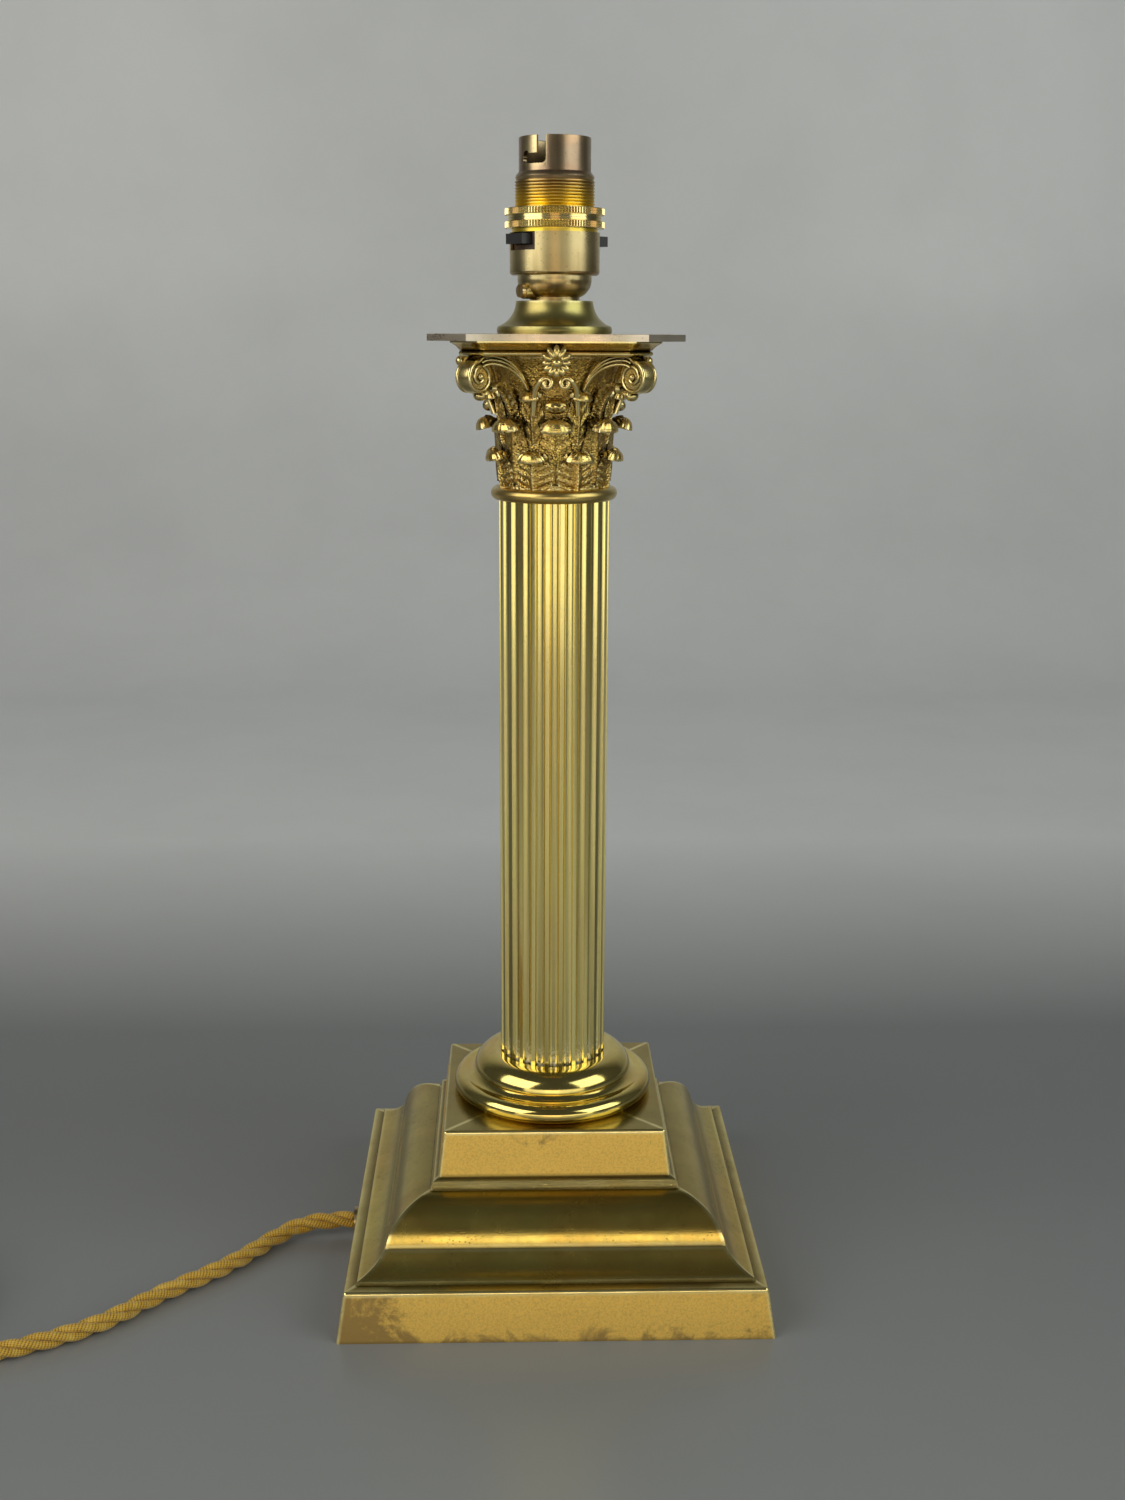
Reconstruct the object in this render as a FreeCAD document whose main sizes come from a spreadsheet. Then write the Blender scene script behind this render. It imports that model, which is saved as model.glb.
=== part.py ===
import FreeCAD, Part
import math
import os
import Sketcher

# Column table lamp in brass: a hollow stepped base, a fluted shaft with turned rings, a capital with two rows of
# leaves and four corner scrolls, a flared collar and a switched bayonet lampholder with two shade rings.
# A three-core twisted flex leaves the left wall of the plinth and ends in a plug.
# Millimetres, +Z up, origin in the middle of the plinth's underside, the front faces -Y.

V = FreeCAD.Vector
UP = V(0, 0, 1)

sizes = {
    # stepped base: each pair is a half width and the height that goes with it
    "plinth_half": 79.6,
    "plinth_taper": 2.8,
    "plinth_height": 18.6,
    "ledge_inset": 4.0,
    "ledge_rise": 0.6,
    "fillet_inset": 0.7,
    "fillet_rise": 1.2,
    "cove_half": 62.5,
    "cove_rise": 7.6,
    "cove_sag": 0.10,
    "ovolo_half": 46.8,
    "ovolo_rise": 15.0,
    "ovolo_bulge": 0.17,
    "foot_half": 45.4,
    "foot_rise": 3.0,
    "die_half": 43.7,
    "die_foot_rise": 1.0,
    "die_top_half": 41.5,
    "die_rise": 17.4,
    "base_wall": 3.4,
    "corner_round": 1.1,
    "cavity_overrun": 0.9,
    "rod_hole_clearance": 0.25,
    # column
    "torus_seat_radius": 36.4,
    "torus_radius": 38.5,
    "torus_rise": 3.5,
    "torus_shoulder_radius": 34.6,
    "torus_shoulder_rise": 3.4,
    "torus_low_bulge": 0.16,
    "torus_high_bulge": 0.22,
    "scotia_sag": 0.16,
    "scotia_radius": 30.0,
    "scotia_rise": 1.3,
    "upper_roll_radius": 30.6,
    "upper_roll_rise": 1.4,
    "upper_roll_bulge": 0.20,
    "ring_neck_radius": 22.4,
    "ring_neck_rise": 6.6,
    "shaft_radius": 20.3,
    "shaft_length": 217.8,
    "shaft_wall": 3.6,
    "shaft_seat_depth": 3.0,
    "flute_count": 24,
    "flute_radius": 2.05,
    "flute_depth": 1.35,
    "seat_clearance": 0.05,
    "neck_ring_radius": 23.1,
    "neck_ring_height": 4.8,
    "spigot_height": 4.0,
    # capital
    "bell_foot_radius": 19.4,
    "bell_waist_radius": 19.9,
    "bell_lip_radius": 27.0,
    "bell_height": 46.4,
    "bell_wall": 4.0,
    "leaf_count": 8,
    "lower_leaf_height": 13.2,
    "lower_leaf_reach": 24.1,
    "lower_leaf_width": 14.0,
    "upper_leaf_start": 2.0,
    "upper_leaf_height": 24.4,
    "upper_leaf_reach": 26.5,
    "upper_leaf_width": 12.6,
    "leaf_thickness": 1.5,
    "leaf_curl": 1.9,
    "leaf_curl_start": 55.0,
    "leaf_neck_drop": 1.6,
    "leaf_foot_share": 0.92,
    "leaf_neck_share": 0.80,
    "leaf_end_share": 0.5,
    "leaf_belly": 0.25,
    "leaf_cup": 0.15,
    "leaf_rib_radius": 0.9,
    "volute_eye_reach": 41.9,
    "volute_radius": 6.1,
    "volute_width": 7.6,
    "volute_eye_drop": 11.2,
    "stalk_thickness": 2.6,
    "scroll_eye_radius": 1.9,
    "scroll_eye_stand": 0.7,
    "helix_radius": 3.1,
    "helix_spacing": 7.0,
    "helix_drop": 13.6,
    "helix_reach": 27.0,
    "flower_radius": 5.3,
    "flower_petals": 8,
    "flower_drop": 5.6,
    "flower_reach": 34.2,
    "abacus_height": 5.2,
    "abacus_bead": 1.4,
    "abacus_half": 36.5,
    "abacus_inset": 3.0,
    "abacus_corner_cut": 9.5,
    "abacus_hollow": 3.6,
    # plate and collar
    "plate_half": 44.2,
    "plate_thickness": 2.3,
    "plate_corner_cut": 13.6,
    "plate_hollow": 4.6,
    "plate_tab_half": 10.0,
    "plate_tab_stand": 2.4,
    "collar_rim_radius": 20.8,
    "collar_rim_height": 2.6,
    "collar_waist_radius": 14.4,
    "collar_top_radius": 13.8,
    "collar_height": 11.4,
    "collar_wall": 1.6,
    "collar_sag": 0.16,
    # threaded stem with its nuts
    "rod_radius": 5.0,
    "rod_bore_radius": 3.75,
    "rod_below_base": 12.0,
    "thread_clearance": 0.05,
    "nut_across_flats": 17.0,
    "nut_height": 4.5,
    "thin_nut_height": 3.0,
    "washer_radius": 12.0,
    "washer_thickness": 1.5,
    "clamp_bar_length": 70.0,
    "clamp_bar_width": 24.0,
    "clamp_bar_thickness": 3.0,
    # lampholder
    "cap_neck_radius": 8.9,
    "cap_neck_height": 1.3,
    "cap_dome_radius": 13.2,
    "cap_dome_bulge": 0.16,
    "cap_height": 8.8,
    "cap_wall": 1.3,
    "rod_in_cap": 3.6,
    "clamp_boss_radius": 2.7,
    "clamp_screw_radius": 1.5,
    "clamp_head_radius": 2.3,
    "clamp_head_height": 1.6,
    "clamp_boss_reach": 13.2,
    "clamp_angle": 212.0,
    "clamp_screw_height": 3.3,
    "housing_radius": 15.97,
    "housing_height": 14.5,
    "housing_wall": 0.9,
    "housing_corner": 1.2,
    "housing_floor_hole": 9.0,
    "window_width": 13.6,
    "window_height": 6.2,
    "bar_width": 9.0,
    "bar_height": 3.5,
    "bar_front_stand": 2.4,
    "bar_back_stand": 5.0,
    "bar_drop": 4.2,
    "bar_clearance": 0.25,
    "bar_angle": 218.0,
    "switch_block_radius": 14.6,
    "channel_floor": 2.0,
    "entry_clearance": 0.6,
    "carrier_radius": 12.6,
    "carrier_top_below_rim": 18.3,
    "fit_gap": 0.3,
    "skirt_thread_radius": 14.1,
    "skirt_bore_radius": 12.9,
    "skirt_flange_radius": 15.2,
    "skirt_flange_height": 1.3,
    "skirt_height": 32.0,
    "thread_height": 18.6,
    "taper_height": 2.0,
    "barrel_radius": 12.7,
    "barrel_bore_radius": 11.2,
    "slot_width": 3.5,
    "slot_depth": 9.4,
    "slot_angle": 246.7,
    "slot_hook": 30.0,
    "slot_seat_rise": 0.8,
    "ring_rim_radius": 17.6,
    "ring_rim_height": 1.7,
    "ring_collar_radius": 16.5,
    "ring_height": 3.35,
    "ring_gap": 0.1,
    "contact_spacing": 10.0,
    "plunger_radius": 2.3,
    "plunger_tip_radius": 1.9,
    "plunger_stand": 7.0,
    "plunger_collar_height": 1.6,
    "plunger_collar_radius": 2.9,
    "plunger_play": 0.15,
    "collar_play": 0.2,
    "plunger_cover": 2.0,
    "spring_wire": 0.5,
    "spring_turns": 5,
    "spring_length": 7.4,
    "terminal_width": 4.6,
    "terminal_height": 4.4,
    "terminal_screw_radius": 1.3,
    "bridge_thickness": 0.6,
    "bridge_width": 4.0,
    # flex and plug
    "flex_radius": 3.4,
    "flex_height": 6.2,
    "bush_wall": 1.25,
    "bush_stand": 0.83,
    "bush_flange": 1.0,
    "bush_flange_thickness": 0.8,
    "flex_clearance": 0.35,
    "inner_bend": 27.0,
    "floor_gap": 0.1,
    "coil_lift": 1.1,
    "coil_gap": 0.45,
    "coil_outer_radius": 50.0,
    "coil_turns": 6,
    "tie_width": 9.0,
    "tie_thickness": 0.8,
    "tie_gap": 0.3,
    "tail_length": 47.0,
    "plug_width": 50.0,
    "plug_length": 50.0,
    "plug_height": 22.0,
    "plug_shoulder": 36.0,
    "plug_cover_height": 12.5,
    "plug_corner": 6.0,
    "plug_wall": 2.4,
    "pin_spread": 22.2,
    "pin_rise": 22.2,
    "line_pin_width": 6.35,
    "line_pin_thickness": 4.0,
    "line_pin_length": 17.7,
    "earth_pin_width": 4.0,
    "earth_pin_thickness": 8.0,
    "earth_pin_length": 22.7,
    "fuse_radius": 3.15,
    "fuse_length": 25.4,
    "pin_axis_share": 0.40,
    "plug_screw_share": 0.52,
    "fuse_share": 0.32,
    "fuse_side_share": 0.36,
    "plug_screw_radius": 1.9,
    "volute_foot_inset": 1.5,
    "volute_foot_drop": 2.2,
    "stalk_turn": 0.62,
    "stalk_bow_share": 0.6,
    "stalk_bow_drop": 0.75,
    "stalk_width_share": 0.8,
    "volute_lobe_share": 0.42,
    "volute_lobe_back": 0.55,
    "scroll_groove_share": 0.72,
    "scroll_groove_radius": 0.45,
    "flower_valley": 0.8,
    "flower_heart": 0.33,
    "flower_root": 2.0,
    "helix_eye_share": 0.4,
    "helix_eye_stand": 0.5,
    "helix_root": 1.0,
    "taper_bulge": 0.08,
    "barrel_edge": 0.3,
    "skirt_step": 0.6,
    "slot_cut_start": 5.0,
    "terminal_gap": 0.05,
    "terminal_depth_share": 0.7,
    "terminal_spread": 1.2,
    "terminal_screw_height": 1.0,
    "core_clearance": 1.6,
    "climb_sweep": 180.0,
    "coil_step": 45.0,
    "run_trim": 0.45,
    "tie_corner": 1.5,
    "tie_room": 1.0,
    "plug_shoulder_share": 0.3,
    "plug_post_gap": 0.3,
    "line_pin_back": 0.08,
    "pin_root": 1.2,
    "screw_sink": 2.0,
    "plug_screw_start": 4.0,
    "plug_screw_head_height": 1.6,
    "fuse_lift": 0.3,
    "plug_screw_head": 3.4,
}

# where the flex runs on the table after it has left the plinth: chosen points, in plan
flex_route = [(-96.0, 0.0), (-109.0, -6.5), (-124.5, -29.5), (-149.5, -51.0), (-166.0, -71.0), (-194.0, -86.2)]
coil_centre = (-270.0, -63.0)
coil_entry_angle = 293.0
coil_exit_angle = 180.0
tie_angle = 60.0

doc = FreeCAD.newDocument("ColumnTableLamp")
sheet = doc.addObject("Spreadsheet::Sheet", "Sizes")
for row, (alias, value) in enumerate(sizes.items(), start=1):
    sheet.set("A%d" % row, alias)
    sheet.set("B%d" % row, str(value))
    sheet.setAlias("B%d" % row, alias)
doc.recompute()


class Size:
    """A number from the sheet together with the formula that gives it."""

    def __init__(self, value, formula):
        self.value = float(value)
        self.formula = formula

    def __add__(self, other):
        other = sized(other)
        return Size(self.value + other.value, "(%s + %s)" % (self.formula, other.formula))

    def __sub__(self, other):
        other = sized(other)
        return Size(self.value - other.value, "(%s - %s)" % (self.formula, other.formula))

    def __mul__(self, other):
        other = sized(other)
        return Size(self.value * other.value, "(%s * %s)" % (self.formula, other.formula))

    def __truediv__(self, other):
        other = sized(other)
        return Size(self.value / other.value, "(%s / %s)" % (self.formula, other.formula))

    def __neg__(self):
        return Size(-self.value, "(0 - %s)" % self.formula)

    def __float__(self):
        return self.value


def sized(number):
    if isinstance(number, Size):
        return number
    return Size(number, repr(float(number)))


def size(alias):
    return Size(getattr(sheet, alias), "Sizes." + alias)


# ---------------------------------------------------------------- heights that stack up from the table

plinth_top_half = size("plinth_half") - size("plinth_taper")
plinth_top = size("plinth_height")
ledge_z = plinth_top + size("ledge_rise")
fillet_z = ledge_z + size("fillet_rise")
crease_z = fillet_z + size("cove_rise")
ovolo_z = crease_z + size("ovolo_rise")
foot_z = ovolo_z + size("foot_rise")
die_foot_z = foot_z + size("die_foot_rise")
die_top_z = die_foot_z + size("die_rise")

torus_z = die_top_z + size("torus_rise")
torus_shoulder_z = torus_z + size("torus_shoulder_rise")
scotia_z = torus_shoulder_z + size("scotia_rise")
upper_roll_z = scotia_z + size("upper_roll_rise")
ring_top_z = upper_roll_z + size("ring_neck_rise")
shaft_foot_z = ring_top_z - size("shaft_seat_depth")
shaft_top_z = shaft_foot_z + size("shaft_length")
neck_top_z = shaft_top_z + size("neck_ring_height")
bell_top_z = neck_top_z + size("bell_height")
capital_top_z = bell_top_z + size("abacus_height")
plate_top_z = capital_top_z + size("plate_thickness")
collar_top_z = plate_top_z + size("collar_height")
cap_top_z = collar_top_z + size("cap_height")
housing_top_z = cap_top_z + size("housing_height")
rim_z = housing_top_z + size("skirt_height")
rod_top_z = collar_top_z + size("rod_in_cap")
rod_hole = size("rod_radius") + size("rod_hole_clearance")
shaft_bore = size("shaft_radius") - size("shaft_wall")
underside_z = die_top_z - size("base_wall")


# ---------------------------------------------------------------- how pieces are made

def origin_plane(body, role):
    for feature in body.Origin.OriginFeatures:
        if feature.Role == role:
            return feature
    raise ValueError(role)


def new_body(name):
    body = doc.addObject("PartDesign::Body", "Body_" + name)
    body.Label = name
    return body


def new_sketch(body, name, role):
    sketch = body.newObject("Sketcher::SketchObject", name)
    sketch.AttachmentSupport = [(origin_plane(body, role), "")]
    sketch.MapMode = "FlatFace"
    return sketch


def pin_point(sketch, index, end, corner, tag):
    """Hold one end of an edge at a corner, by the sheet's formulas."""
    for axis, kind, line in ((0, "DistanceX", -2), (1, "DistanceY", -1)):
        place = sized(corner[axis])
        if abs(place.value) < 1e-9:
            sketch.addConstraint(Sketcher.Constraint("PointOnObject", index, end, line))
            continue
        number = sketch.addConstraint(Sketcher.Constraint(kind, -1, 1, index, end, place.value))
        label = "%s%d" % ("xy"[axis] + "_", tag)
        sketch.renameConstraint(number, label)
        sketch.setExpression("Constraints." + label, place.formula)


def draw_outline(sketch, corners):
    """A closed outline, drawn anticlockwise. A corner's third value swells the edge after it, as a share of its chord."""
    ends = []
    for number, corner in enumerate(corners):
        following = corners[(number + 1) % len(corners)]
        start = V(sized(corner[0]).value, sized(corner[1]).value, 0)
        stop = V(sized(following[0]).value, sized(following[1]).value, 0)
        bulge = sized(corner[2]) if len(corner) > 2 else None
        if bulge is None:
            index = sketch.addGeometry(Part.LineSegment(start, stop), False)
            ends.append((index, 1, 2))
            continue
        chord = stop - start
        outward = V(chord.y, -chord.x, 0)
        middle = (start + stop) * 0.5 + outward * bulge.value
        index = sketch.addGeometry(Part.Arc(start, middle, stop), False)
        forward = sketch.getPoint(index, 1).distanceToPoint(start) < 1e-6
        ends.append((index, 1, 2) if forward else (index, 2, 1))
    for number, corner in enumerate(corners):
        index, first, last = ends[number]
        after, after_first, _ = ends[(number + 1) % len(corners)]
        sketch.addConstraint(Sketcher.Constraint("Coincident", index, last, after, after_first))
        pin_point(sketch, index, first, corner, number)
    for number, corner in enumerate(corners):
        if len(corner) < 3:
            continue
        following = corners[(number + 1) % len(corners)]
        bulge = sized(corner[2])
        run = sized(following[0]) - corner[0]
        rise = sized(following[1]) - corner[1]
        chord = math.hypot(run.value, rise.value)
        depth = abs(bulge.value)
        radius = chord * (1 + 4 * depth * depth) / (8 * depth)
        held = sketch.addConstraint(Sketcher.Constraint("Radius", ends[number][0], radius))
        sketch.renameConstraint(held, "r_%d" % number)
        sketch.setExpression("Constraints.r_%d" % number,
                             "sqrt((%s)^2 + (%s)^2) * (1 + 4 * (%s)^2) / (8 * abs(%s))"
                             % (run.formula, rise.formula, bulge.formula, bulge.formula))


def turned(name, corners):
    """A lathe-turned piece: its half section beside the axis, revolved."""
    body = new_body(name)
    sketch = new_sketch(body, "Section_" + name, "XZ_Plane")
    draw_outline(sketch, corners)
    doc.recompute()
    turn = body.newObject("PartDesign::Revolution", "Turn_" + name)
    turn.Profile = sketch
    turn.ReferenceAxis = (sketch, ["V_Axis"])
    turn.Angle = 360
    doc.recompute()
    return body


def padded(name, corners, bottom, height):
    """A flat outline padded upwards from a height."""
    body = new_body(name)
    sketch = new_sketch(body, "Outline_" + name, "XY_Plane")
    draw_outline(sketch, corners)
    sketch.setExpression("AttachmentOffset.Base.z", sized(bottom).formula)
    doc.recompute()
    pad = body.newObject("PartDesign::Pad", "Pad_" + name)
    pad.Profile = sketch
    pad.setExpression("Length", sized(height).formula)
    doc.recompute()
    return body


def cylinder(name, radius, height, place=(0, 0, 0), turn=None):
    shape = doc.addObject("Part::Cylinder", name)
    shape.setExpression("Radius", sized(radius).formula)
    shape.setExpression("Height", sized(height).formula)
    put(shape, place, turn)
    return shape


def box(name, length, width, height, place=(0, 0, 0), turn=None):
    shape = doc.addObject("Part::Box", name)
    shape.setExpression("Length", sized(length).formula)
    shape.setExpression("Width", sized(width).formula)
    shape.setExpression("Height", sized(height).formula)
    put(shape, place, turn)
    return shape


def put(shape, place, turn):
    if turn is not None:
        shape.Placement.Rotation = turn
    for axis, value in zip("xyz", place):
        value = sized(value)
        if "Sizes" in value.formula:
            shape.setExpression("Placement.Base." + axis, value.formula)
        else:
            moved = shape.Placement
            setattr(moved.Base, axis, value.value)
            shape.Placement = moved


def cut(name, base, tools):
    if len(tools) > 1:
        joined = doc.addObject("Part::MultiFuse", "Tools_" + name)
        joined.Shapes = tools
    else:
        joined = tools[0]
    result = doc.addObject("Part::Cut", "Cut_" + name)
    result.Base = base
    result.Tool = joined
    base.Label = base.Label + "_blank" if base.Label == name else base.Label
    result.Label = name
    doc.recompute()
    return result


def solid(name, shape):
    """A piece whose shape is worked out here from the sheet's sizes."""
    feature = doc.addObject("Part::Feature", "Solid_" + name)
    feature.Label = name
    feature.Shape = shape
    return feature


def turned_section(corners):
    """The face of a half section in the XZ plane, with the same corners as turned()."""
    edges = []
    for number, corner in enumerate(corners):
        following = corners[(number + 1) % len(corners)]
        start = V(float(corner[0]), 0, float(corner[1]))
        stop = V(float(following[0]), 0, float(following[1]))
        if len(corner) < 3:
            edges.append(Part.LineSegment(start, stop).toShape())
            continue
        chord = stop - start
        middle = (start + stop) * 0.5 + V(chord.z, 0, -chord.x) * float(corner[2])
        edges.append(Part.Arc(start, middle, stop).toShape())
    return Part.Face(Part.Wire(edges))


def direction(angle):
    turn = math.radians(angle)
    return V(math.cos(turn), math.sin(turn), 0)


def value(alias):
    return float(size(alias))


parts = []


def keep(piece):
    parts.append(piece)
    return piece


# ---------------------------------------------------------------- stepped base

def base_section(inset, drop):
    """Half the section of the square base, from the middle line outwards. The cavity is the same, inset and dropped."""
    wall = inset
    ledge_half = plinth_top_half - size("ledge_inset")
    fillet_half = ledge_half - size("fillet_inset")
    low = sized(0) if drop is None else -size("cavity_overrun")
    lower = sized(0) if drop is None else drop
    return [
        (sized(0), low),
        (size("plinth_half") - wall, low),
        (plinth_top_half - wall, plinth_top - lower),
        (ledge_half - wall, ledge_z - lower),
        (fillet_half - wall, fillet_z - lower, -size("cove_sag")),
        (size("cove_half") - wall, crease_z - lower, size("ovolo_bulge")),
        (size("ovolo_half") - wall, ovolo_z - lower),
        (size("foot_half") - wall, foot_z - lower),
        (size("die_half") - wall, die_foot_z - lower),
        (size("die_top_half") - wall, die_top_z - lower),
        (sized(0), die_top_z - lower),
    ]


def square_block(name, corners):
    """A square block with moulded sides: two crossing prisms of one section keep what they share."""
    prisms = []
    for number in range(2):
        body = new_body("%s_prism_%d" % (name, number))
        sketch = new_sketch(body, "Section_%s_%d" % (name, number), "XZ_Plane")
        draw_outline(sketch, corners)
        doc.recompute()
        pad = body.newObject("PartDesign::Pad", "Pad_%s_%d" % (name, number))
        pad.Profile = sketch
        pad.setExpression("Length", ((size("plinth_half") + plinth_top_half) * 2).formula)
        pad.Midplane = True
        doc.recompute()
        mirror = body.newObject("PartDesign::Mirrored", "Mirror_%s_%d" % (name, number))
        mirror.Originals = [pad]
        mirror.MirrorPlane = (origin_plane(body, "YZ_Plane"), [""])
        body.Tip = mirror
        doc.recompute()
        if number:
            body.Placement = FreeCAD.Placement(V(0, 0, 0), FreeCAD.Rotation(UP, 90))
        prisms.append(body)
    block = doc.addObject("Part::Common", "Block_" + name)
    block.Base = prisms[0]
    block.Tool = prisms[1]
    doc.recompute()
    return block


def round_edges(block):
    """The casting's worn edges: the corners and the top edges of the plinth and of the die."""
    radius = value("corner_round")
    spans = ((0.0, float(plinth_top)), (float(die_foot_z), float(die_top_z)))
    chosen = []
    for number, edge in enumerate(block.Shape.Edges, start=1):
        heights = sorted(vertex.Point.z for vertex in edge.Vertexes)
        for low, high in spans:
            if abs(heights[-1] - high) < 1e-4 and min(abs(heights[0] - low), abs(heights[0] - high)) < 1e-4:
                chosen.append((number, radius, radius))
    rounded = doc.addObject("Part::Fillet", "Rounded_" + block.Name)
    rounded.Base = block
    rounded.Edges = chosen
    doc.recompute()
    return rounded


def bush_outer():
    return size("flex_radius") + size("flex_clearance") + size("bush_wall")


def wall_at_flex():
    """Half width of the plinth's sloping wall at the height of the flex."""
    share = size("flex_height") / size("plinth_height")
    return size("plinth_half") - (size("plinth_half") - plinth_top_half) * share


def build_base():
    outer = round_edges(square_block("outer", base_section(sized(0), None)))
    cavity = square_block("cavity", base_section(size("base_wall"), size("base_wall")))
    rod_cut = cylinder("rod_hole", rod_hole, size("base_wall") * 3, (0, 0, underside_z - size("base_wall")))
    beyond_wall = size("plinth_half") + plinth_top_half
    flex_cut = cylinder("flex_hole", bush_outer() + size("seat_clearance"), beyond_wall - shaft_bore,
                        (-beyond_wall, 0, size("flex_height")), FreeCAD.Rotation(V(0, 1, 0), 90))
    hollow = cut("stepped_base", outer, [cavity, rod_cut, flex_cut])
    keep(hollow)


build_base()

# ---------------------------------------------------------------- column

keep(turned("column_base_ring", [
    (rod_hole, die_top_z),
    (size("torus_seat_radius"), die_top_z, size("torus_low_bulge")),
    (size("torus_radius"), torus_z, size("torus_high_bulge")),
    (size("torus_shoulder_radius"), torus_shoulder_z, -size("scotia_sag")),
    (size("scotia_radius"), scotia_z),
    (size("upper_roll_radius"), upper_roll_z, size("upper_roll_bulge")),
    (size("ring_neck_radius"), ring_top_z),
    (size("shaft_radius") + size("seat_clearance"), ring_top_z),
    (size("shaft_radius") + size("seat_clearance"), shaft_foot_z),
    (rod_hole, shaft_foot_z),
]))


def build_shaft():
    body = turned("fluted_shaft", [
        (shaft_bore, shaft_foot_z),
        (size("shaft_radius"), shaft_foot_z),
        (size("shaft_radius"), shaft_top_z),
        (shaft_bore, shaft_top_z),
    ])
    plain = body.Shape.Volume
    sketch = new_sketch(body, "Flute_outline", "XY_Plane")
    flute = sketch.addGeometry(Part.Circle(V(0, -20, 0), UP, 2), False)
    sketch.addConstraint(Sketcher.Constraint("PointOnObject", flute, 3, -2))
    across = sketch.addConstraint(Sketcher.Constraint("DistanceY", -1, 1, flute, 3, -20))
    radius = sketch.addConstraint(Sketcher.Constraint("Radius", flute, 2))
    sketch.renameConstraint(across, "across")
    sketch.renameConstraint(radius, "radius")
    sketch.setExpression("Constraints.across",
                         (-(size("shaft_radius") + size("flute_radius") - size("flute_depth"))).formula)
    sketch.setExpression("Constraints.radius", size("flute_radius").formula)
    sketch.setExpression("AttachmentOffset.Base.z", (shaft_foot_z - 1).formula)
    doc.recompute()
    groove = body.newObject("PartDesign::Pocket", "Flute")
    groove.Profile = sketch
    groove.Reversed = True
    groove.setExpression("Length", (size("shaft_length") + 2).formula)
    doc.recompute()
    if body.Shape.Volume > plain - 1:
        raise ValueError("the flute cuts nothing")
    flutes = body.newObject("PartDesign::PolarPattern", "Flutes")
    flutes.Originals = [groove]
    flutes.Axis = (sketch, ["N_Axis"])
    flutes.Angle = 360
    flutes.setExpression("Occurrences", size("flute_count").formula)
    body.Tip = flutes
    doc.recompute()
    return body


keep(build_shaft())

keep(turned("neck_ring", [
    (rod_hole, shaft_top_z - size("spigot_height")),
    (shaft_bore - size("seat_clearance"), shaft_top_z - size("spigot_height")),
    (shaft_bore - size("seat_clearance"), shaft_top_z),
    (size("neck_ring_radius") - size("neck_ring_height") / 2, shaft_top_z, 0.49),
    (size("neck_ring_radius") - size("neck_ring_height") / 2, neck_top_z),
    (size("bell_foot_radius") - size("bell_wall") - size("seat_clearance"), neck_top_z),
    (size("bell_foot_radius") - size("bell_wall") - size("seat_clearance"), neck_top_z + size("spigot_height")),
    (rod_hole, neck_top_z + size("spigot_height")),
]))


# ---------------------------------------------------------------- capital

def hollow_square(half, corner_cut, hollow, height, tab_half=0.0, tab_stand=0.0):
    """A square with clipped corners and hollow sides, at a height. A tab may stand in the middle of each side."""
    edges = []
    flat = half - corner_cut
    for number in range(4):
        turn = FreeCAD.Rotation(UP, 90 * number)

        def place(x, y):
            return turn.multVec(V(x, y, 0)) + V(0, 0, height)

        start, stop = place(-flat, -half), place(flat, -half)
        if tab_half:
            tab_y = -half + hollow - tab_stand
            near_y = -half + hollow
            middle_x = (flat + tab_half) / 2
            sag_y = -half + hollow * 0.8
            left = [place(-tab_half, near_y), place(-tab_half, tab_y)]
            right = [place(tab_half, tab_y), place(tab_half, near_y)]
            edges.append(Part.Arc(start, place(-middle_x, sag_y), left[0]).toShape())
            edges.append(Part.LineSegment(left[0], left[1]).toShape())
            edges.append(Part.LineSegment(left[1], right[0]).toShape())
            edges.append(Part.LineSegment(right[0], right[1]).toShape())
            edges.append(Part.Arc(right[1], place(middle_x, sag_y), stop).toShape())
        else:
            edges.append(Part.Arc(start, place(0, -half + hollow), stop).toShape())
        edges.append(Part.LineSegment(stop, place(half, -flat)).toShape())
    return Part.Wire(edges)


def leaf_shape(foot_radius, foot_z, height, reach, width):
    """One leaf that stands against the bell and curls over at its tip: a loft through lens-shaped sections."""
    curl = value("leaf_curl")
    thickness = value("leaf_thickness")
    roll = V(reach - curl, 0, foot_z + height - curl)
    neck_z = roll.z - curl * value("leaf_neck_drop")
    stem = roll.x - foot_radius - curl
    stations = [
        (V(foot_radius, 0, foot_z), 90.0, value("leaf_foot_share")),
        (V(foot_radius + stem * value("leaf_belly"), 0, (foot_z + neck_z) / 2), 88.0, 1.0),
        (V(foot_radius + stem / 2, 0, neck_z), 78.0, value("leaf_neck_share")),
    ]
    for step in range(5):
        turn = step / 4
        lean = value("leaf_curl_start") - (value("leaf_curl_start") + 90.0) * turn
        spoke = V(-math.sin(math.radians(lean)), 0, math.cos(math.radians(lean)))
        taper = value("leaf_neck_share") + (value("leaf_end_share") - value("leaf_neck_share")) * turn ** 3
        stations.append((roll + spoke * (curl - thickness / 2), lean, taper))
    sections = []
    for centre, lean, share in stations:
        outward = V(math.sin(math.radians(lean)), 0, -math.cos(math.radians(lean)))
        half = share * width / 2
        edge = centre - V(half * half / (2 * foot_radius), 0, 0) - outward * (thickness * value("leaf_cup"))
        left = edge + V(0, -half, 0)
        right = edge + V(0, half, 0)
        front = Part.Arc(left, centre + outward * (thickness / 2), right).toShape()
        back = Part.Arc(right, centre - outward * (thickness / 2), left).toShape()
        sections.append(Part.Wire([front, back]))
    leaf = Part.makeLoft(sections, True, True)
    rib = Part.makeCone(value("leaf_rib_radius"), value("leaf_rib_radius") * value("leaf_end_share"),
                        neck_z - foot_z, V(foot_radius + thickness / 2, 0, foot_z),
                        V(stem / 2, 0, neck_z - foot_z))
    return leaf.fuse(rib)


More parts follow.
